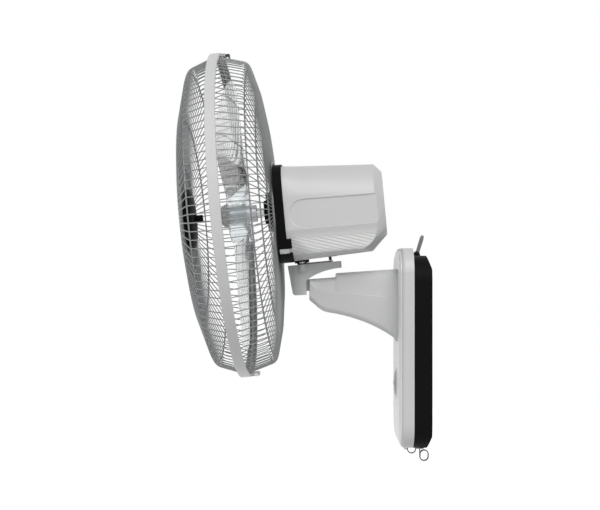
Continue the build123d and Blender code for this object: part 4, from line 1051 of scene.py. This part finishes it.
@dataclass
class MotorCover:
    """Rear motor cover: a long taper, sunk side panels, sloping flutes and a chamfered back.

    All in millimetres: places along the axis behind the guard's middle, heights from the axis.

    Attributes:
        joint, edge, rear: Sections at the joint, at edge_at and on the rear face.
        cup: Section of the black front cover that it meets.
        edge_u: Where the rear chamfer starts, against height.
        crease: Height of the crease between the flutes and the underside.
        runs: The side's rows above the flutes as (highest, step down, count).
        flute_rows: Highest of the flutes' rows, and their step down.
        panel: Middle height at panel_at, half height and front end of the sunk panel.
        panel_fall, panel_taper: How its height and depth change along the axis.
        panel_edge: Width of its sloping edge.
        hollow: Depth of the hollow that the flutes lie in, against height.
        flute_fall: How far a flute falls per millimetre to the rear.
        flute_steep: Share of a flute's pitch that its steep side takes.
        flute_top: Height of the flutes' upper end at the joint, how far that falls per
            millimetre to the rear, and the height over which the flutes fade in.
        flute_start: Where the flutes start along the axis, and their run-in.
        high_corner, low_corner: Radii of the corners along the axis.
        holes: Centre and radius of the openings below for the post and the crank.
        key: Lowest and highest height and front end of the key that enters the cup.
        tabs: Lowest and highest height of each black tab, which ends at tab_u.
        tab_depths: How deep a tab's outer and inner faces lie under the cup's side.
        lip_size, lip_long: The lip inside the joint, as a share of the cover, and its length.
        wall: Height of the openings' rims, and thickness of the key.
        corner_fall: How much lower the chamfer's outline is read per degree of the corner.
        under_past, middle_past: How far the underside's outer and middle rows reach past
            the chamfer's lowest start.
        panel_past: How far the chamfer starts further back per millimetre of panel depth.
        under_in: How far the underside's outer row lies inside the side: a share of the
            corner's radius, and a length.
        middle: Half the width of the strip along the underside's middle.
        rear_side: First and last height whose rows end on the rear face's straight side.
        rear_spread: How much wider the corner's rows are spread on the rear face.
        rear_turn: Degrees of the rear face's lower corner that the lowest rows end on.
    """

    joint: CoverSection = CoverSection(58.5, -69.6, 64.0)
    edge: CoverSection = CoverSection(51.0, -65.5, 59.0)
    rear: CoverSection = CoverSection(39.5, -45.0, 46.0)
    cup: CoverSection = CoverSection(61.0, -71.0, 65.5)
    joint_u: float = 74.0
    edge_at: float = 192.0
    rear_u: float = 206.5
    edge_u: tuple = ((-61.0, 174.5), (-57.0, 181.0), (-51.0, 187.0), (-43.0, 191.8),
                     (-35.0, 193.8), (-29.0, 194.3), (11.0, 194.3), (47.0, 195.0), (51.0, 196.5))
    crease: float = -61.0
    runs: tuple = ((18.0, 2.5, 2), (13.0, 0.35, 14), (7.6, 0.7, 47), (-25.3, 0.35, 17),
                   (-31.8, 1.0, 5))
    flute_rows: tuple = (-36.6, 0.44)
    length_rows: int = 88
    panel: tuple = (-8.2, 19.5, 80.5)
    panel_at: float = 93.0
    panel_deep: float = 1.2
    panel_fall: float = 0.012
    panel_taper: float = 0.011
    panel_edge: float = 0.8
    hollow: tuple = ((-61.0, 0.0), (-38.0, 2.4), (-28.5, 0.0))
    flute_pitch: float = 4.4
    flute_fall: float = 0.331
    flute_deep: float = 0.6
    flute_steep: float = 0.15
    flute_top: tuple = (-37.0, 0.0265, 3.0)
    flute_start: tuple = (78.0, 1.5)
    high_corner: tuple = ((74.0, 36.0), (100.0, 44.0), (196.0, 50.0))
    low_corner: tuple = ((74.0, 36.0), (82.0, 34.0), (108.0, 14.0), (194.0, 9.0))
    holes: tuple = ((88.0, 11.5), (121.0, 16.0))
    key: tuple = (-58.4, -52.6, 63.3)
    tabs: tuple = ((-52.4, -39.4), (-70.6, -58.6))
    tab_u: float = 80.0
    tab_depths: tuple = (-0.2, 2.0)
    lip_size: float = 0.965
    lip_long: float = 3.0
    wall: float = 2.5
    corner_fall: float = 0.16
    under_past: float = 8.0
    middle_past: float = 11.0
    panel_past: float = 0.96
    under_in: tuple = (0.8, 7.0)
    middle: float = 0.2
    rear_side: tuple = (18.0, -29.5)
    rear_spread: float = 1.3
    rear_turn: float = 60.0

    def section(self, u: float) -> CoverSection:
        """Work out the cover's section.

        Args:
            u: Its place along the axis.

        Returns:
            The section.
        """
        share = (u - self.joint_u) / (self.edge_at - self.joint_u)
        return replace(self.joint.towards(self.edge, share), corner=eased(self.high_corner, u),
                       low_corner=eased(self.low_corner, u))

    def sunk_panel(self, u: float, r: float) -> float:
        """Work out how deep the flat panel lies under the side.

        Args:
            u: Place along the axis.
            r: Height.

        Returns:
            The depth, 0 outside the panel.
        """
        mid, half, front = self.panel
        rise = r - mid + self.panel_fall * (u - self.panel_at)
        off = math.hypot(max(front + half - u, 0.0), rise) - half
        share = min(max(-off / self.panel_edge, 0.0), 1.0)
        section = self.section(u)
        flat = section.half - self.panel_deep - self.panel_taper * (u - self.joint_u)
        return share * max(0.0, section.on_side(r, 0.0)[0] - flat)

    def sunk_flutes(self, u: float, r: float) -> float:
        """Work out how deep the flutes and their hollow lie under the side.

        Args:
            u: Place along the axis.
            r: Height.

        Returns:
            The depth, 0 above the hollow.
        """
        top, fall, fade = self.flute_top
        share = min(max((top - fall * (u - self.joint_u) - r) / fade, 0.0), 1.0)
        start, run_in = self.flute_start
        share *= min(max((u - start) / run_in, 0.0), 1.0)
        place = (r + self.flute_fall * (u - self.joint_u)) / self.flute_pitch
        t = 1 - (place - math.floor(place))
        steep = self.flute_steep
        flute = self.flute_deep * (t / steep if t < steep else (1 - t) / (1 - steep))
        return eased(self.hollow, r) + share * flute

    def rows(self) -> list[tuple[str, float]]:
        """List the skin's rows down one side.

        Returns:
            Each row's kind with its value: angles on the upper corner, then heights down the
            side, then the underside.
        """
        heights = [high - step * k for high, step, count in self.runs for k in range(count)]
        high, step = self.flute_rows
        heights += spread(high, self.crease, round((high - self.crease) / step))
        return ([("top", 0.0)] + [("corner", 90.0 - 8 * k) for k in range(9)]
                + [("side", r) for r in heights] + [("under", 0.0), ("hole", 0.0)])

    def point(self, row: tuple[str, float], t: float) -> tuple[float, float, float]:
        """One point of the tapered skin.

        Args:
            row: The row's kind and its angle or height.
            t: Share of the way from the joint to the chamfer.

        Returns:
            Sideways, rearward and upward coordinates in the head's frame.
        """
        kind, value = row
        top = self.edge.top
        heights = {"top": top, "corner": top - self.corner_fall * (90 - value), "side": value}
        end = eased(self.edge_u, heights.get(kind, self.crease))
        end += {"under": self.under_past, "hole": self.middle_past}.get(kind, 0.0)
        if kind == "side":
            end += self.panel_past * self.sunk_panel(end, value)
        u = self.joint_u + (end - self.joint_u) * t
        section = self.section(u)
        if kind == "top":
            return 0.0, u, section.top
        if kind == "corner":
            x, r = section.on_corner(value, True)
        elif kind == "side":
            x, r = section.on_side(value, self.sunk_panel(u, value) + self.sunk_flutes(u, value))
        else:
            share, inside = self.under_in
            x, r = section.half - section.low_corner * share - inside, section.low
        if kind == "hole":
            x = max([self.middle] + [math.sqrt(radius ** 2 - (u - at) ** 2)
                                     for at, radius in self.holes if abs(u - at) < radius])
        return x, u, r

    def rear_point(self, row: tuple[str, float]) -> tuple[float, float, float]:
        """Find where a row ends on the rear face.

        Args:
            row: The row's kind and its angle or height.

        Returns:
            Sideways, rearward and upward coordinates in the head's frame.
        """
        kind, value = row
        back = self.rear
        first, last = self.rear_side
        if kind == "top":
            x, r = 0.0, back.top
        elif kind == "corner":
            x, r = back.on_corner(90 - (90 - value) * self.rear_spread, True)
        elif kind == "side" and value > last:
            high, low = back.top - back.corner, back.low + back.corner
            x, r = back.half, high + (low - high) * (first - value) / (first - last)
        elif kind == "side":
            degrees = self.rear_turn * (last - value) / (last - self.crease)
            x, r = back.on_corner(degrees, False)
        else:
            x, r = back.half - back.corner if kind == "under" else self.middle, back.low
        return x, self.rear_u, r

    def add_strips(self, bm: BMesh, ends: tuple[float, float], heights: list[float],
                   depths: tuple[float, float]) -> None:
        """Add a strip that follows the cup's side, and its mirror image.

        Args:
            bm: The mesh that gets them.
            ends: Where they start and end along the axis.
            heights: The heights of their rows.
            depths: How deep their outer and inner faces lie under the cup's side.
        """
        outer = [self.cup.on_side(r, depths[0]) for r in heights]
        inner = [self.cup.on_side(r, depths[1]) for r in reversed(heights)]
        for side in (-1, 1):
            loft(bm, [[Vector((side * x, u, r)) for x, r in outer + inner] for u in ends])

    def add_tabs(self) -> None:
        """Make the black tabs that grip the cover's lower sides, as one piece on the head."""
        bm = bmesh.new()
        for low, high in self.tabs:
            self.add_strips(bm, (self.joint_u - 2, self.tab_u), spread(low, high, 10),
                            self.tab_depths)
        tabs = piece_of("motor_cover_tabs", bm, FAN, Finish.BLACK_ABS.material)
        settle(tabs, "head", Finish.BLACK_ABS.slot)

    def build(self) -> None:
        """Make the cover as one skin on the head, and the tabs."""
        rows = self.rows()
        halves = [[self.point(row, t) for row in rows] for t in spread(0.0, 1.0, self.length_rows)]
        lip = [(x * self.lip_size, self.joint_u - self.lip_long, r * self.lip_size)
               for x, _, r in halves[0]]
        halves = [lip, *halves, [self.rear_point(row) for row in rows]]
        bm = bmesh.new()
        grid = [[bm.verts.new(Vector(p) * MM) for p in
                 half + [(-x, u, r) for x, u, r in reversed(half[1:])]] for half in halves]
        gap = len(rows) - 1
        for row, ahead in zip(grid, grid[1:]):
            for k in range(len(row)):
                n = (k + 1) % len(row)
                if k != gap or row[k].co.x < 1 * MM or ahead[k].co.x < 1 * MM:
                    bm.faces.new((row[k], row[n], ahead[n], ahead[k]))
        bm.faces.new(grid[-1])
        behind = (self.joint_u + 1) * MM
        rims = [e for e in bm.edges if e.is_boundary and min(v.co.y for v in e.verts) > behind]
        grown = bmesh.ops.extrude_edge_only(bm, edges=rims)["geom"]
        bmesh.ops.translate(bm, vec=(0, 0, self.wall * MM),
                            verts=[g for g in grown if isinstance(g, BMVert)])
        low, high, front = self.key
        self.add_strips(bm, (front, self.joint_u + 2), spread(low, high, 6), (0.0, self.wall))
        cover = piece_of("motor_cover_skin", bm, FAN, Finish.LIGHT_GREY_ABS.material,
                         smooth_deg=26)
        settle(cover, "head", Finish.LIGHT_GREY_ABS.slot, "motor_rear_cover")
        self.add_tabs()


def turned(bm: BMesh, profile: tuple) -> None:
    """Spin an open profile about the Y axis; its ends lie on the axis.

    Args:
        bm: The mesh that gets the form.
        profile: (radius, place along Y) pairs in millimetres.
    """
    verts = [bm.verts.new((r * MM, y * MM, 0)) for r, y in profile]
    edges = [bm.edges.new(pair) for pair in zip(verts, verts[1:])]
    spin_round(bm, verts + edges, steps=72)
    bmesh.ops.remove_doubles(bm, verts=bm.verts, dist=0.01 * MM)


@dataclass
class SmallMouldings:
    """The dark clamp behind the front guard's centre, and the timer's low domed knob.

    Attributes:
        clamp: The clamp's outline as (radius, distance behind the guard's middle).
        knob_height: How far the knob stands out.
        knob_seat: The CAD knob's height, from its front to the fascia.
        dome: The knob's outline, as shares of its radius and height.
        grip: The grip's outline, as shares of the knob's radius.
        grip_levels: The grip's sections: height as a share of the knob's, and size.
    """

    clamp: tuple = ((0.0, -41.0), (4.5, -41.0), (5.0, -42.0), (5.0, -49.0), (12.0, -50.5),
                    (34.0, -53.0), (40.0, -55.5), (42.0, -58.0), (42.0, -60.5), (35.0, -62.0),
                    (0.0, -62.0))
    knob_height: float = 2.6
    knob_seat: float = 5.0
    dome: tuple = ((0.0, 1.0), (0.45, 0.97), (0.75, 0.8), (0.93, 0.5), (1.0, 0.2), (1.0, 0.0),
                   (0.0, 0.0))
    grip: tuple = ((0.55, 0.16), (0.8, 0.14), (0.88, 0.0), (0.8, -0.14), (0.0, -0.2),
                   (-0.8, -0.14), (-0.88, 0.0), (-0.8, 0.14), (-0.55, 0.16))
    grip_levels: tuple = ((0.4, 1.0), (0.95, 1.0), (1.1, 0.9))

    def build_clamp(self) -> None:
        """Make the clamp as one piece on the head."""
        bm = bmesh.new()
        turned(bm, self.clamp)
        clamp = piece_of("badge_clamp", bm, FAN, Finish.BLACK_ABS.material)
        settle(clamp, "head", Finish.BLACK_ABS.slot)

    def build_knob(self) -> None:
        """Make the knob and its grip as one piece that turns with the timer."""
        low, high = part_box("timer_knob")
        radius = (high.x - low.x) / 2 / MM
        tall = self.knob_height
        bm = bmesh.new()
        turned(bm, tuple((radius * r, -tall * y) for r, y in self.dome))
        loft(bm, [[Vector((x * radius * size, -tall * y, z * radius * size)) for x, z in self.grip]
                  for y, size in self.grip_levels])
        place = Matrix.Translation((low + high) / 2)
        place.translation.y = low.y + self.knob_seat * MM
        knob = piece_of("timer_knob_moulding", bm, place, Finish.KNOB_GREY.material)
        settle(knob, "timer_knob", Finish.KNOB_GREY.slot, "timer_knob")

    def build(self) -> None:
        """Make both."""
        self.build_clamp()
        self.build_knob()


# ---------------- the CAD pieces' finishes
# Every CAD node, by the finish that it takes on its own shape.
NODE_FINISHES = {
    Finish.LIGHT_GREY_ABS: "front_housing wall_arm motor_rear_cover rim_band",
    Finish.WHITE_ABS: "fascia_panel",
    Finish.MID_GREY_ABS: "arm_tongue cord_eyelets neck_housing guard_badge spinner_nut",
    Finish.BLACK_ABS: "back_housing speed_switch swing_switch cord_gland hank_tie"
                      " motor_front_cover guard_mount_plate guard_nut",
    Finish.CLEAR_AS: "impeller",
    Finish.ZINC_STEEL: "wall_plate tilt_pin tilt_washers base_screws link_pin swing_motor"
                       " motor_bolts rim_screw drive_pin motor_shaft",
    Finish.LAMINATION_STEEL: "stator_core rotor",
    Finish.CAST_ALUMINIUM: "front_end_shield rear_end_shield blade_insert",
    Finish.COPPER_WINDING: "stator_windings",
    Finish.DARK_STEEL: "swing_link pivot_post post_circlip rim_latch crank",
    Finish.BRASS: "plug_pins shaft_bearings",
    Finish.ACETAL: "run_capacitor timer_body speed_lever swing_lever pivot_bush",
    Finish.GREY_PVC: "plug_body power_cord cord_hank plug_lead",
    Finish.PULL_CORD_FIBRE: "speed_pull_cord swing_pull_cord speed_pull_bundle swing_pull_bundle",
    Finish.KNOB_GREY: "timer_knob",
    Finish.GUARD_WIRE_STEEL: "rear_guard front_guard rear_guard_rings front_guard_rings",
}


def finish_nodes() -> None:
    """Give every CAD node its finish and slot."""
    missing = set(frame["nodes"])
    for finish, names in NODE_FINISHES.items():
        for name in names.split():
            node = frame["nodes"][name]
            node.data.materials.clear()
            node.data.materials.append(finish.material)
            missing.discard(name)
    if missing:
        LOG.warning("nodes without a finish: %s", sorted(missing))


def main() -> None:
    """Build the camera, the cords, every other piece, and then the rest of the stage."""
    logging.basicConfig(level=logging.INFO, format="%(name)s: %(message)s")
    studio = Studio()
    studio.add_camera()
    MainsCord().build()
    PullCord("speed_pull", "speed_pull", 1, 3).build()
    PullCord("swing_pull", "swing_pull", -1, 2).build()
    Guard("rear_guard_wires", ("rear_guard", "rear_guard_rings"), 1,
          ((66.5, 60.2), (130.0, 56.2), (168.0, 50.6), (203.5, 41.0)),
          (100.0, 158.0, 196.0)).build()
    Guard("front_guard_wires", ("front_guard", "front_guard_rings"), -1,
          ((36.0, -64.6), (105.0, -59.6), (150.0, -52.6), (202.0, -36.8)),
          (72.0, 135.0, 196.0)).build()
    WallArm().build()
    MotorCover().build()
    Impeller().build()
    SmallMouldings().build()
    finish_nodes()
    studio.build()


if __name__ == "__main__":
    main()
